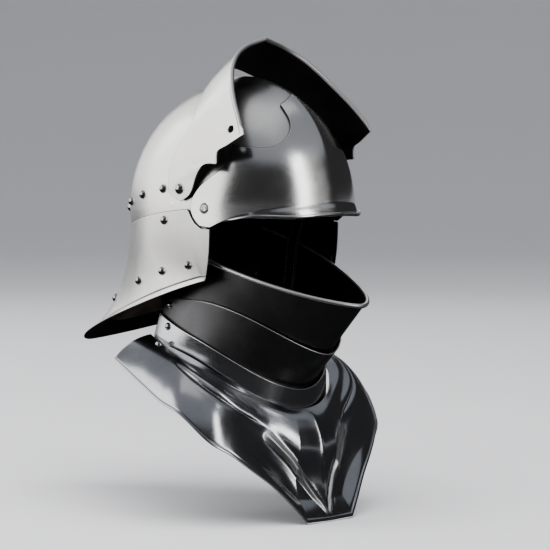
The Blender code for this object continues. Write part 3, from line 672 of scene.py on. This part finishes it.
def put(node, values):
    """Sets each input of a node to a value, or links it to a socket."""
    for key, value in values.items():
        if isinstance(value, bpy.types.NodeSocket):
            node.id_data.links.new(value, node.inputs[key])
        else:
            node.inputs[key].default_value = value


def noise(coords, scale, detail=4.0, rough=0.55, distortion=0.0, stretch=None):
    tree = coords.id_data
    if stretch:
        mapping = tree.nodes.new("ShaderNodeMapping")
        put(mapping, {"Scale": stretch, "Vector": coords})
        coords = mapping.outputs["Vector"]
    node = tree.nodes.new("ShaderNodeTexNoise")
    put(node, {"Scale": scale, "Detail": detail, "Roughness": rough, "Distortion": distortion,
               "Vector": coords})
    return node.outputs["Fac"]


def span(value, low, high, to_low, to_high):
    node = value.id_data.nodes.new("ShaderNodeMapRange")
    node.interpolation_type = "SMOOTHSTEP"
    put(node, {"From Min": low, "From Max": high, "To Min": to_low, "To Max": to_high, "Value": value})
    return node.outputs["Result"]


def combine(kind, a, b):
    tree = (a if isinstance(a, bpy.types.NodeSocket) else b).id_data
    node = tree.nodes.new("ShaderNodeMath")
    node.operation = kind
    put(node, {0: a, 1: b})
    return node.outputs["Value"]


def blend_colour(factor, a, b):
    node = factor.id_data.nodes.new("ShaderNodeMix")
    node.data_type = "RGBA"
    put(node, {"Factor": factor})
    sockets = [i for i, socket in enumerate(node.inputs) if socket.type == "RGBA"]
    for socket, value in zip(sockets, (a, b)):
        put(node, {socket: (*value, 1.0) if isinstance(value, tuple) else value})
    return [socket for socket in node.outputs if socket.type == "RGBA"][0]


def bump(shader, height, strength, distance, under=None):
    node = shader.id_data.nodes.new("ShaderNodeBump")
    put(node, {"Strength": strength, "Distance": distance, "Height": height})
    if under:
        put(node, {"Normal": under})
    put(shader, {"Normal": node.outputs["Normal"]})
    return node.outputs["Normal"]


def steel(name, bright, dull, rough, brush, planish, edge=(0.9, 0.89, 0.87), grain=(1, 1, 14)):
    """Worked steel: drifts of tone, polishing grain, fine scratches, planishing and bright edges."""
    tree, shader, coords = new_material(name)
    drift = noise(coords, 11.0, 5.0, 0.6, 0.4)
    colour = blend_colour(span(drift, 0.35, 0.68, 0.0, 1.0), bright, dull)
    geometry = tree.nodes.new("ShaderNodeNewGeometry")
    worn = span(geometry.outputs["Pointiness"], 0.53, 0.6, 0.0, 1.0)
    colour = blend_colour(worn, colour, edge)
    lines = noise(coords, 160.0, 3.0, 0.65, 0.0, grain)
    smear = noise(coords, 30.0, 4.0, 0.6, 1.2)
    scratch = noise(coords, 75.0, 2.0, 0.5, 2.6, (1.0, 0.35, 2.2))
    scratch = span(combine("ABSOLUTE", combine("SUBTRACT", scratch, 0.5), 0.0), 0.0, 0.012, 1.0, 0.0)
    level = combine("ADD", span(smear, 0.3, 0.7, rough * 0.93, rough * 1.1),
                    span(lines, 0.3, 0.7, -brush * 0.5, brush * 0.5))
    level = combine("ADD", level, combine("MULTIPLY", scratch, 0.03))
    put(shader, {"Base Color": colour, "Roughness": level, "Metallic": 1.0})
    waves = noise(coords, 38.0, 1.0, 0.4)
    first = bump(shader, waves, planish, 0.0012)
    second = bump(shader, lines, brush * 1.2, 0.0001, first)
    bump(shader, combine("SUBTRACT", 1.0, scratch), 0.12, 0.00005, second)


def leather(name, colour, worn, rough=0.5):
    tree, shader, coords = new_material(name)
    cells = tree.nodes.new("ShaderNodeTexVoronoi")
    cells.feature = "DISTANCE_TO_EDGE"
    put(cells, {"Scale": 900.0, "Vector": coords})
    pores = span(cells.outputs["Distance"], 0.0, 0.25, 0.0, 1.0)
    drift = noise(coords, 45.0, 5.0, 0.6, 0.6)
    tone = blend_colour(span(drift, 0.4, 0.75, 0.0, 1.0), colour, worn)
    geometry = tree.nodes.new("ShaderNodeNewGeometry")
    rubbed = span(geometry.outputs["Pointiness"], 0.52, 0.6, 0.0, 0.8)
    put(shader, {"Base Color": blend_colour(rubbed, tone, worn),
                 "Roughness": span(drift, 0.3, 0.7, rough * 0.8, rough * 1.25)})
    first = bump(shader, pores, 0.35, 0.0002)
    bump(shader, drift, 0.3, 0.0008, first)


def cloth(name, colour, shade):
    """Plain-woven linen: two crossed sets of threads."""
    tree, shader, coords = new_material(name)
    threads = []
    for direction in ("X", "Z"):
        wave = tree.nodes.new("ShaderNodeTexWave")
        wave.bands_direction = direction
        put(wave, {"Scale": 190.0, "Distortion": 1.2, "Detail": 2.0, "Detail Scale": 3.0, "Vector": coords})
        threads.append(wave.outputs["Fac"])
    weave = combine("MAXIMUM", *threads)
    drift = noise(coords, 26.0, 5.0, 0.6)
    tone = blend_colour(span(drift, 0.35, 0.7, 0.0, 1.0), colour, shade)
    # Painted shade: the cloth is darker between the threads, in the hollows of the weave.
    dark = tuple(c * 0.5 for c in shade)
    tone = blend_colour(span(weave, 0.2, 0.8, 0.5, 0.0), tone, dark)
    put(shader, {"Base Color": tone, "Roughness": 0.92, "Sheen Weight": 0.3, "Sheen Roughness": 0.5})
    first = bump(shader, weave, 0.5, 0.0004)
    bump(shader, drift, 0.3, 0.001, first)


steel("satin_steel", (0.82, 0.805, 0.785), (0.78, 0.765, 0.745), 0.32, 0.06, 0.03)
steel("polished_steel", (0.80, 0.79, 0.775), (0.75, 0.74, 0.73), 0.20, 0.05, 0.02)
steel("mirror_steel", (0.56, 0.565, 0.58), (0.46, 0.465, 0.48), 0.20, 0.04, 0.03,
      grain=(1, 1, 6))
# Painted shade: the upper lame and main plate get a steel darkened far below the others, standing in for the
# dark surroundings they reflect.
steel("dark_steel", (0.21, 0.21, 0.213), (0.16, 0.16, 0.163), 0.40, 0.08, 0.06,
      edge=(0.62, 0.61, 0.6), grain=(1, 1, 10))
# Painted shade: the inside faces of every plate get a near-black steel, so the inside of the helmet reads
# dark as if in shadow.
steel("painted_shade_inside_steel", (0.07, 0.069, 0.068), (0.045, 0.044, 0.044), 0.55, 0.05, 0.1,
      edge=(0.12, 0.12, 0.12))
# Painted highlight: a brighter, rougher steel on the rolls, on the rims of the mirror and dark plates and on
# the gorget's flutes, so they show as bright lines where light would catch them.
steel("painted_highlight_edge_steel", (0.88, 0.87, 0.85), (0.82, 0.81, 0.795), 0.42, 0.04, 0.02)
# Painted shadow: a near-black steel on the edges of the satin and polished plates, which draws the shade in
# the gaps between plates as dark lines.
steel("painted_shadow_steel", (0.10, 0.10, 0.10), (0.06, 0.06, 0.06), 0.4, 0.05, 0.05,
      edge=(0.3, 0.3, 0.3))
steel("rivet_steel", (0.52, 0.51, 0.50), (0.36, 0.355, 0.35), 0.17, 0.05, 0.03)
leather("black_leather", (0.012, 0.011, 0.011), (0.04, 0.036, 0.033))
leather("brown_leather", (0.018, 0.011, 0.008), (0.045, 0.028, 0.018), 0.6)
cloth("linen", (0.028, 0.027, 0.026), (0.018, 0.0175, 0.017))
leather("thread", (0.2, 0.18, 0.14), (0.3, 0.27, 0.22), 0.8)


def dress(piece, looks, body, *nodes, slot=None):
    """Gives a piece its materials and body, and hides the CAD nodes it stands for.

    looks names one material, or four for a sheet: outside, inside, edges and roll. The slot is not used.
    """
    if isinstance(looks, str):
        piece.data.polygons.foreach_set("material_index", [0] * len(piece.data.polygons))
        looks = (looks,)
    for look in looks:
        piece.data.materials.append(LOOKS[look])
    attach(piece, body)
    slot or looks[0]
    if nodes:
        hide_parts(*nodes)


# ---- plates ----

# Looks of a sheet: outside, inside, edges and roll. The inside look is painted shade, the dark edges of SATIN
# and POLISHED are painted shadow lines, the bright edge steel is painted highlight, and the outside of DARK
# is painted shade.
SATIN = ("satin_steel", "painted_shade_inside_steel", "painted_shadow_steel", "painted_highlight_edge_steel")
POLISHED = ("polished_steel", "painted_shade_inside_steel", "painted_shadow_steel", "polished_steel")
MIRROR = ("mirror_steel", "painted_shade_inside_steel", "painted_highlight_edge_steel", "mirror_steel")
DARK = ("dark_steel", "painted_shade_inside_steel", "painted_highlight_edge_steel", "painted_highlight_edge_steel")


def rolled_edge(fade, thin, swell, sweep):
    """Radius and sweep of a rolled edge, down to almost nothing where fade is 0."""
    return thin + swell * fade, 3 + sweep * fade


def make_skull():
    us = spread(104, dense=((0, 0.05, 1.5), (1, 0.05, 1.0)))
    vs = spread(58, dense=((0, 0.03, 3.0),))
    piece = sheet("skull", skull_place, us, vs, SHEET, seam="both", pole=True)
    dress(piece, SATIN, "skull", "skull_shell")


def make_brow():
    us = spread(150, dense=((1, 0.03, 2.0), (0.5, 0.03, 1.0), (0.944, 0.02, 1.0)))
    vs = np.concatenate([np.linspace(-1, 0, 11), spread(48, dense=((0, 0.02, 2.0), (1, 0.03, 1.0)))[1:]])

    def roll(u):
        return rolled_edge(fading(run(BROW_RIM, u)[0], *BROW_BEAD_FADE), *BROW_ROLL)

    piece = sheet("brow_plate_fine", brow_place, us, vs, BROW_SHEET, seam="end", roll=roll)
    dress(piece, POLISHED, "skull", "brow_plate")
    turn, rise = (math.radians(value) for value in BROW_SCREW)
    point, normal = skull_point(turn, rise, BROW_PROUD), skull_normal(turn, rise)
    sink = [(0, 2), (SCREW_RADIUS + 1.4, 2), (SCREW_RADIUS + 0.7, -0.1), (2.6, -2.6), (2.6, -5), (0, -5)]
    profile = [(0, 0.3), (1.9, 0.28), (2.1, -0.5), (2.6, -0.5), (2.9, 0.3), (4.1, 0.22), (4.6, -0.05),
               (SCREW_RADIUS - 0.1, -0.5), (2.2, -2.2), (2.2, -8.2), (4.6, -8.2), (4.6, -8.6),
               (4.4, -9.6), (4.0, -9.9), (0, -9.9)]
    for side, word in SIDES:
        where = (point.x * side, point.y, point.z)
        way = (normal.x * side, normal.y, normal.z)
        cut(piece, lathe("sink", sink, where, way))
        screw = lathe("screw_" + word, profile, where, way, steps=32)
        standing = Vector(way).to_track_quat("Z", "Y").to_matrix().to_4x4()
        turned = Matrix.Rotation(math.radians(SCREW_SLOT_TURN), 4, "Z")
        slot = bmesh.new()
        bmesh.ops.create_cube(slot, size=1.0, matrix=Matrix.Translation(Vector(where) * MM) @ standing
                              @ turned @ Matrix.Diagonal((*(length * MM for length in SCREW_SLOT), 1.0)))
        mesh = bpy.data.meshes.new("slot")
        slot.to_mesh(mesh)
        slot.free()
        cut(screw, add("slot", mesh))
        dress(screw, "rivet_steel", "skull", "brow_screw_" + word)


def make_visor():
    count = len(VISOR_RIM) + len(ARM_FRONT) - 1
    corner, step = (index / count for index in VISOR_CORNERS)
    us = spread(150, dense=((0, 0.02, 3.0), (corner, 0.02, 2.5), (step, 0.02, 3.0), (1, 0.1, 1.5)))

    def roll(u):
        return rolled_edge(smooth((VISOR_ROLL_END / count - u) * VISOR_EDGE_FADE), *VISOR_ROLL)

    def relief(u, v, point):
        groove = -hump(v * VISOR_DEPTH, *VISOR_GROOVE)
        return groove * smooth((VISOR_GROOVE_END / count - u) * VISOR_EDGE_FADE)

    vs = spread(60, 0.012, 1.0, dense=((0.04, 0.05, 5.0), (1, 0.03, 2.0)))
    piece = sheet("visor_fine", visor_place, us, vs, SHEET, seam="start", relief=relief, roll=roll)
    dress(piece, SATIN, "visor", "visor")
    hole = polar_point(VISOR_SIDE_X, *PEG_HOLE)
    cut(piece, lathe("peg", [(0, 10), (PEG_HOLE_RADIUS, 10), (PEG_HOLE_RADIUS, -10), (0, -10)], hole,
                     (-1.0, -0.25, 0.1)))


def make_tail():
    def relief(u, v, point):
        edge = (1 - v) * TAIL_DEPTH
        height, width = TAIL_FOLD
        fold = height * (1 - edge / width) if edge < width else 0.0
        return fold - hump(edge, *TAIL_GROOVE)

    us = spread(120, dense=((1, 0.04, 2.0), (0, 0.03, 2.0)))
    vs = spread(64, dense=((1, 0.06, 4.0), (0, 0.03, 2.0)))
    piece = sheet("tail", tail_place, us, vs, SHEET, seam="end", relief=relief)
    dress(piece, SATIN, "tail", "tail_lame")


def make_bevor():
    us = spread(110, dense=((0, 0.02, 3.0), (1, 0.03, 1.5)))

    def roll(u):
        return BEVOR_ROLL

    upper = functools.partial(bevor_place, CHIN_RIM, MAIN_TOP, COLLAR_TOP)
    main = functools.partial(bevor_place, MAIN_TOP, COLLAR_TOP, GORGET_TOP)
    collar = functools.partial(bevor_place, COLLAR_TOP, GORGET_TOP, None)
    piece = sheet("upper_lame", upper, us, spread(40, 0.02, 1.0, dense=((0, 0.03, 3.0),)), SHEET, roll=roll)
    dress(piece, DARK, "upper_lame", "bevor_upper_lame")
    piece = sheet("main_plate", main, us, spread(40, dense=((0, 0.03, 3.0),)), SHEET)
    dress(piece, DARK, "bevor", "bevor_main_plate")
    piece = sheet("collar", collar, us, spread(36, dense=((0, 0.03, 3.0),)), SHEET)
    dress(piece, MIRROR, "collar", "collar_lame", slot="polished_steel")
    return main, collar


def make_gorget():
    fine = np.array([run(FLUTE, t) for t in np.linspace(0, 1, 90)])
    crease_u, crease_v = (np.array(column) for column in zip(*CREASE))

    def nearest(place):
        """How far a place is from the flute's line, and how far along the line that is."""
        gap = np.linalg.norm(fine - place, axis=1)
        near = int(np.argmin(gap))
        return float(gap[near]), near / (len(fine) - 1)

    def relief(u, v, point):
        x, z = abs(point[0]), point[2]
        lift = 0.0
        gap, along = nearest(np.array([x, point[1], z]))
        if gap < FLUTE_REACH:
            size = math.sin(math.pi * mix(*FLUTE_ENDS, along)) ** FLUTE_FULLNESS
            width = mix(*FLUTE_WIDTH, along)
            lift += size * (hump(gap, mix(*FLUTE_HEIGHT, along), 0, width)
                            - hump(gap, FLUTE_DITCH, 2.2 * width, 1.2 * width))
        keel = fading(z, *KEEL_TOP) * rising(z, *KEEL_FOOT)
        lift += keel * KEEL_HEIGHT * math.exp(-x / KEEL_SHARPNESS)
        size = rising(u, *CREASE_START) * fading(u, *CREASE_END)
        below = (v - float(np.interp(u, crease_u, crease_v))) * GORGET_DEPTH
        upper, lower = CREASE_BANKS
        lift += size * (-CREASE_DEPTH * math.exp(-abs(below) / CREASE_SHARPNESS)
                        + hump(below, *upper) + hump(below, *lower))
        lift += fading(u, *NECK_SWELL_FADE) * hump(v, *NECK_SWELL)
        edge = (1 - v) * BORDER_DEPTH
        lift += BORDER_HEIGHT * (1 - rising(edge, BORDER_WIDTH, BORDER_WIDTH)) - hump(edge, *BORDER_LINE)
        return lift

    us = spread(190, dense=((0.03, 0.06, 2.2), (0.2, 0.08, 0.8), (0.09, 0.012, 2.0)))
    vs = spread(120, dense=((1, 0.03, 4.0), (0.45, 0.08, 1.2), (0, 0.02, 2.0), (0.75, 0.2, 0.5)))
    piece = sheet("gorget", gorget_place, us, vs, SHEET, relief=relief)
    dress(piece, MIRROR + ("painted_highlight_edge_steel",), "gorget", "gorget_plate", slot="polished_steel")
    # Painted highlight: the faces on and beside the flutes get the bright edge steel, so each flute shows as
    # a bright stripe.
    flute_highlight_look = len(MIRROR)
    for face in piece.data.polygons:
        if face.material_index == 0 and face.center.z < 0.0:
            place = np.array([abs(face.center.x), face.center.y, face.center.z]) / MM
            gap, along = nearest(place)
            if gap < 1.25 * mix(*FLUTE_WIDTH, along) + 1.0:
                face.material_index = flute_highlight_look


# ---- rivets and pivots ----

def turned_pair(name, node, look, body, profile, place, normal, steps):
    """One turned piece on each side of the helmet."""
    for side, word in SIDES:
        piece = lathe(f"{name}_{word}", profile, (place[0] * side, place[1], place[2]),
                      (normal[0] * side, normal[1], normal[2]), steps=steps)
        dress(piece, look, body, f"{node}_{word}")


def rivet(name, node, place, normal, body, size, grip):
    """A domed rivet with its shank and the burr that closes it, on both sides of the helmet."""
    head, rise, shank, burr = size
    foot = -grip - GAP
    profile = [(r, h + 0.25) for r, h in dome(head, rise)]
    profile += [(head * 0.97, 0.05), (shank, 0.05), (shank, foot)]
    profile += [(burr, foot), (burr * 0.95, foot - 0.5), (burr * 0.7, foot - 1.0), (0, foot - 1.1)]
    turned_pair(name, node, "rivet_steel", body, profile, place, normal, 24)


def make_rivets(main, collar):
    for index, degrees in enumerate(BAND_TURNS):
        turn = math.radians(degrees)
        rise = rise_at(turn, lame_top_z(skull_point(turn, 0.0).y) + BAND_STEP)
        rivet(f"skull_rivet_{index + 1}", f"skull_lining_rivet_{index + 1}", skull_point(turn, rise),
              skull_normal(turn, rise), "skull", LINING_RIVET, SHEET + LEATHER + GAP)
    for index, y in enumerate(TAIL_BAND_Y):
        u = halve(0.0, 1.0, lambda t: tail_place(t, mix(*TAIL_BAND, t)).y < y)
        row = mix(*TAIL_BAND, u)
        rivet(f"tail_rivet_{index + 1}", f"tail_lining_rivet_{index + 1}", tail_place(u, row),
              sheet_normal(tail_place, u, row), "tail", LINING_RIVET, SHEET + LEATHER + GAP)
    rivet("tail_pivot", "tail_pivot", on_sheet(tail_place, *TAIL_PIVOT), (1, 0, 0), "skull",
          TAIL_PIVOT_RIVET, SHEET * 2 + GAP + 0.3)
    for name, place, body in (("upper_lame_rivet", main, "bevor"), ("collar_rivet", collar, "bevor"),
                              ("gorget_rivet", gorget_place, "collar")):
        u, v = LAME_RIVET_PLACES[name]
        grip = PLATE_STEP + SHEET + (STRAP_THICKNESS + GAP if name == "upper_lame_rivet" else 0.0)
        rivet("bevor_" + name, name, place(u, v), sheet_normal(place, u, v), body, LAME_RIVET, grip)
    turn = math.pi / 2 + 0.03
    wall = skull_point(turn, rise_at(turn, PIVOT_Z)).x
    rivet("visor_hub", "visor_pivot", (PIVOT_X, PIVOT_Y, PIVOT_Z), (1, 0, 0), "skull",
          VISOR_PIVOT_RIVET, PIVOT_X - wall + SHEET + LEATHER + GAP * 3)
    top, foot = PIVOT_X - SHEET - 0.35, wall + 1.3
    profile = [(3.4, top), (3.8, top + 0.05), (7.1, top + 0.05), (7.5, top - 0.3), (7.5, foot + 0.3),
               (7.2, foot), (3.4, foot), (3.4, top)]
    turned_pair("washer", "visor_spacer", "brown_leather", "skull", profile, (0, PIVOT_Y, PIVOT_Z),
                (1, 0, 0), 32)
    turn = math.acos(-(CHIN_STRAP_RIVET[0] - SKULL_Y) / SKULL_REAR)
    rise = rise_at(turn, CHIN_STRAP_RIVET[1])
    profile = [(0, 0.0), (1.9, -0.05), (1.9, -7.6), (4.2, -7.6), (4.1, -8.1), (3.4, -8.8), (0, -9.1)]
    turned_pair("chin_rivet", "chin_strap_rivet", "rivet_steel", "skull", profile,
                skull_point(turn, rise), skull_normal(turn, rise), 20)


# ---- lining, straps and buckles ----

def stitches(name, places, body, slot):
    """A row of sewn stitches: each is a small rounded thread from one point towards the next."""
    points, faces = [], []
    rings, sides = 5, THREAD_SIDES
    for start, end, up in places:
        start, end, up = (np.array(value, float) for value in (start, end, up))
        along = end - start
        side = unit(np.cross(along, up))
        base = len(points)
        for k in range(rings):
            t = k / (rings - 1)
            width = THREAD_RADIUS * math.sqrt(max(1 - (2 * t - 1) ** 2, 0.02))
            for m in range(sides):
                a = 2 * math.pi * m / sides
                points.append(start + along * t + side * math.cos(a) * width
                              + unit(up) * (math.sin(a) * width + THREAD_LIFT))
        for k in range(base, base + (rings - 1) * sides, sides):
            for m in range(sides):
                n = (m + 1) % sides
                faces.append((k + m, k + n, k + sides + n, k + sides + m))
        faces.append(tuple(base + m for m in range(sides - 1, -1, -1)))
        faces.append(tuple(base + (rings - 1) * sides + m for m in range(sides)))
    dress(build(name, points, faces), "thread", body, slot=slot)


def band_place(u, v):
    turn = eased_turn(u)
    inset = -SHEET - GAP
    row = lame_top_z(skull_point(turn, 0.0).y) + BAND_STEP
    return skull_point(turn, rise_at(turn, row + (v - 0.5) * BAND_WIDTH, inset), inset)


def tail_strip_place(u, v):
    u = mix(0.03, 1.0, u)
    row = mix(*TAIL_BAND, u) + (v - 0.5) * 2 * TAIL_BAND_HALF
    normal = sheet_normal(tail_place, u, row)
    normal.x = 0.0 if u > 0.999 else normal.x
    return tail_place(u, row) - normal.normalized() * (SHEET + GAP)


def liner_place(u, v):
    turn = eased_turn(u)
    row = lame_top_z(skull_point(turn, 0.0).y) + BAND_STEP - BAND_WIDTH * 0.75
    return skull_point(turn, mix(rise_at(turn, row, -LINER_DEPTH), math.pi / 2, v), -LINER_DEPTH)


def make_lining():
    band = sheet("skull_band", band_place, spread(90), spread(6), LEATHER, seam="both")
    dress(band, "brown_leather", "skull", "skull_lining_band")
    strip = sheet("tail_strip", tail_strip_place, spread(70), spread(8), LEATHER, seam="end")
    dress(strip, "brown_leather", "tail", "tail_lining_strip")

    def thick(u, v):
        """Quilted: thin along the sewn channels and rows and at the hem, and full between them."""
        channel = abs(math.sin(LINER_CHANNELS * eased_turn(u))) ** 0.45
        row = abs(math.sin(math.pi * v * LINER_ROWS)) ** 0.35 if v < 0.98 else 1.0
        full = mix(0.8, channel, fading(v, 0.97, 0.3)) * mix(0.75, 1.0, row) * mix(0.5, 1.0, smooth(v / 0.05))
        return LINER_SEAM + (LINER_THICKNESS - LINER_SEAM) * full

    liner = sheet("quilted_liner", liner_place, spread(240), spread(72), thick, seam="both", pole=True)
    dress(liner, "linen", "skull", "padded_liner")
    profile = [(0, 301.0), (12, 301.0), (17, 300.5), (20.5, 299.2), (23.0, 296.8), (23.8, 295.4),
               (23.6, 294.3), (22.4, 294.0), (0, 294.0)]
    pad = lathe("crown_cushion", profile, (0, 0, 0), (0, 0, 1), steps=48)
    dress(pad, "linen", "skull", "crown_pad")
    sewn = []
    for side, _ in SIDES:
        for row in (0.12, 0.88):
            for k in range(BAND_STITCHES):
                u = 0.01 + k * 0.98 / BAND_STITCHES
                a, b = band_place(u, row), band_place(u + 0.006, row)
                up = Vector((-a.x, -a.y, 0)).normalized()
                a, b = (p + up * (LEATHER + 0.05) for p in (a, b))
                sewn.append(((a.x * side, a.y, a.z), (b.x * side, b.y, b.z), (up.x * side, up.y, up.z)))
    stitches("band_stitching", sewn, "skull", "brown_leather")


def strap(name, node, route, across, width, body, loose):
    """Flat leather strap with rounded edges, a rounded loose end, and a row of stitches each side."""
    across = np.array(across, float)
    length = sum(np.linalg.norm(np.subtract(a, b)) for a, b in zip(route, route[1:]))
    count = max(int(length / STRAP_STEP), 20)

    def place(u, v):
        reach = 1.0
        if loose:
            start, tip = STRAP_POINT
            reach = math.sqrt(max(1 - max((u - start) / tip, 0.0) ** 2, 0.0))
        return run(route, u) + across * (v - 0.5) * width * max(reach, 0.12)

    piece = sheet(name, place, np.linspace(0, 1, count + 1), spread(8), STRAP_THICKNESS, seam=None)
    dress(piece, "black_leather", body, node)
    sewn = []
    last = 0.93 if loose else 0.97
    pitch = STITCH_PITCH / length
    for row in (-0.4, 0.4):
        u = 0.03
        while u + pitch < last:
            a, b = run(route, u), run(route, u + pitch * 0.62)
            up = unit(np.cross(b - a, across))
            shift = across * row * width
            for face, sign in ((0.0, 1.0), (-STRAP_THICKNESS, -1.0)):
                offset = up * (face + sign * 0.02)
                sewn.append((a + shift + offset, b + shift + offset, up * sign))
            u += pitch
    stitches(name + "_stitching", sewn, body, "black_leather")


def make_buckle(name, body, centre, across, out, size):
    """A rounded rectangular wire frame with a tapering prong lying over it from one bar to the other."""
    centre, along, across, out = (Vector(value) for value in (centre, (1, 0, 0), across, out))
    length, width = size
    wire, corner = BUCKLE_WIRE, BUCKLE_CORNER

    def tube(piece_name, path, radii, cyclic):
        line = bpy.data.curves.new(piece_name, "CURVE")
        line.dimensions = "3D"
        line.bevel_depth = MM
        line.bevel_resolution = 5
        line.use_fill_caps = True
        spline = line.splines.new("POLY")
        spline.points.add(len(path) - 1)
        for knot, point, radius in zip(spline.points, path, radii):
            knot.co = (*(point * MM), 1.0)
            knot.radius = radius
        spline.use_cyclic_u = cyclic
        thing = add(piece_name, line)
        graph = bpy.context.evaluated_depsgraph_get()
        mesh = bpy.data.meshes.new_from_object(thing.evaluated_get(graph))
        bpy.data.objects.remove(thing, do_unlink=True)
        mesh.shade_smooth()
        return add(piece_name, mesh)

    path = []
    for a, b in ((1, 1), (-1, 1), (-1, -1), (1, -1)):
        for i in range(7):
            middle = math.atan2(b, a)
            turn = middle + math.radians(15 * (i - 3))
            path.append(centre + along * (a * (length / 2 - corner) + corner * math.cos(turn))
                        + across * (b * (width / 2 - corner) + corner * math.sin(turn)))
    ring = tube(name, path, [wire] * len(path), True)
    dress(ring, "rivet_steel", body, name + "_frame")
    reach = (length + corner) / 2
    path, radii = [], []
    for k in range(19):
        t = k / 18
        shift = mix(reach, -reach, t)
        path.append(centre - along * shift + out * (wire * 2 + 0.35 + 0.25 * math.sin(math.pi * t)))
        radii.append(mix(wire * 0.9, wire * 0.5, t))
    prong = tube(name + "_prong", path, radii, False)
    dress(prong, "rivet_steel", body, name + "_prong")


def make_straps():
    for name, route, end, across, width, body in (
            ("neck_strap", NECK_STRAP, NECK_STRAP_END, (0, 0, 1), NECK_STRAP_WIDTH, "bevor"),
            ("chin_strap", CHIN_STRAP, CHIN_STRAP_END, (0, 1, 0), CHIN_STRAP_WIDTH, "skull")):
        strap(name + "_buckle_side", name + "_left", route, across, width, body, False)
        other = [(-x, y, z) for x, y, z in route[:-2]] + end
        back = tuple(-value for value in across)
        strap(name + "_tongue_side", name + "_right", other, back, width, body, True)
    make_buckle("neck_buckle", "bevor", (0, 107.5, 70), (0, 0, 1), (0, 1, 0), NECK_BUCKLE)
    make_buckle("chin_buckle", "skull", (0, -38, 68), (0, 1, 0), (0, 0, -1), CHIN_BUCKLE)


# ---- stage, lights and camera ----

def stage_surface(name, profile, steps):
    """A turned surface of the stage: profile of (radius, height over the floor) in metres."""
    return lathe(name, [(r / MM, (h + STAGE_Z) / MM) for r, h in profile], (0, 0, 0), (0, 0, 1), steps=steps)


def make_floor():
    """A pale studio floor that curves up into a low wall all the way round, well outside every camera."""
    flat, curve, top = 4.5, 5.5, 7.0
    profile = [(0.0, 0.0), (1.5, 0.0), (3.0, 0.0), (flat, 0.0)]
    profile += [(flat + curve * math.sin(a), curve - curve * math.cos(a))
                for a in np.linspace(0.08, math.pi / 2, 24)]
    profile += [(flat + curve, top)]
    floor = stage_surface("studio_floor", profile, 96)
    _, shader, _ = new_material("studio_floor")
    put(shader, {"Base Color": (0.62, 0.62, 0.63, 1.0), "Roughness": 0.75, "Specular IOR Level": 0.2})
    floor.data.materials.append(LOOKS["studio_floor"])


def make_drum():
    """A dark drum round the stage that shows only in reflections, as a dark room does in polished steel."""
    radius, low = 6.5, 0.002
    profile = [(0.0, low), (3.5, low), (radius, low), (radius, 2.5), (radius, 5.0)]
    drum = stage_surface("dark_drum", profile, 64)
    made = bpy.data.materials.new("dark_studio")
    made.use_nodes = True
    tree = made.node_tree
    tree.nodes.clear()
    light = tree.nodes.new("ShaderNodeEmission")
    put(light, {"Color": (0.04, 0.04, 0.042, 1.0), "Strength": 1.0})
    put(tree.nodes.new("ShaderNodeOutputMaterial"), {"Surface": light.outputs["Emission"]})
    drum.data.materials.append(made)
    drum.visible_camera = False
    drum.visible_diffuse = False
    drum.visible_shadow = False
    drum.visible_transmission = False


def towards(azimuth, elevation):
    """The direction of a place seen from the object, in degrees: azimuth 0 is in front, 90 on its left."""
    a, e = math.radians(azimuth), math.radians(elevation)
    return Vector((math.sin(a) * math.cos(e), -math.cos(a) * math.cos(e), math.sin(e)))


def soft_light(name, azimuth, elevation, distance, width, height, power, glossy=True):
    """A rectangular area light that faces the object: degrees, metres and watts."""
    back = towards(azimuth, elevation)
    light = bpy.data.lights.new(name, "AREA")
    light.shape = "RECTANGLE"
    light.size, light.size_y = width, height
    light.energy = power
    thing = add(name, light)
    thing.location = Vector((0, 0, LIGHT_HEIGHT)) + back * distance
    thing.rotation_mode = "QUATERNION"
    thing.rotation_quaternion = back.to_track_quat("Z", "Y")
    thing.visible_glossy = glossy


def make_light():
    world = bpy.data.worlds.new("studio")
    world.use_nodes = True
    put(world.node_tree.nodes["Background"], {"Color": (0.8, 0.84, 0.92, 1.0), "Strength": 0.32})
    bpy.context.scene.world = world
    soft_light("key_left", -131, 20, 2.6, 4.3, 2.6, 56)
    soft_light("key_rear", -186, 24, 2.7, 1.7, 2.2, 13)
    soft_light("strip_right", -6, 18, 2.6, 0.52, 2.2, 12)
    soft_light("top", -60, 82, 2.4, 1.6, 1.6, 3)
    soft_light("rim_back", 130, 25, 2.8, 1.2, 1.8, 6)
    soft_light("wash", -45, 65, 4.0, 5.0, 5.0, 330, glossy=False)
    make_drum()


def make_camera():
    back = towards(CAMERA_AZIMUTH, CAMERA_ELEVATION)
    right = towards(CAMERA_AZIMUTH + 90, 0)
    up = back.cross(right)
    lens = bpy.data.cameras.new("camera")
    lens.sensor_width = 36.0
    lens.lens = CAMERA_LENS
    lens.clip_end = 60.0
    thing = add("camera", lens)
    thing.location = (Vector((0, 0, CAMERA_HEIGHT)) + right * CAMERA_RIGHT - up * CAMERA_DOWN
                      + back * CAMERA_DISTANCE)
    thing.rotation_mode = "QUATERNION"
    thing.rotation_quaternion = Matrix((right, up, back)).transposed().to_quaternion()
    bpy.context.scene.camera = thing


make_camera()
make_floor()
make_light()
make_skull()
make_brow()
make_visor()
make_tail()
main_plate, collar_plate = make_bevor()
make_gorget()
make_rivets(main_plate, collar_plate)
make_lining()
make_straps()

scene = bpy.context.scene
scene.view_settings.view_transform = "AgX"
scene.view_settings.look = "AgX - Medium High Contrast"
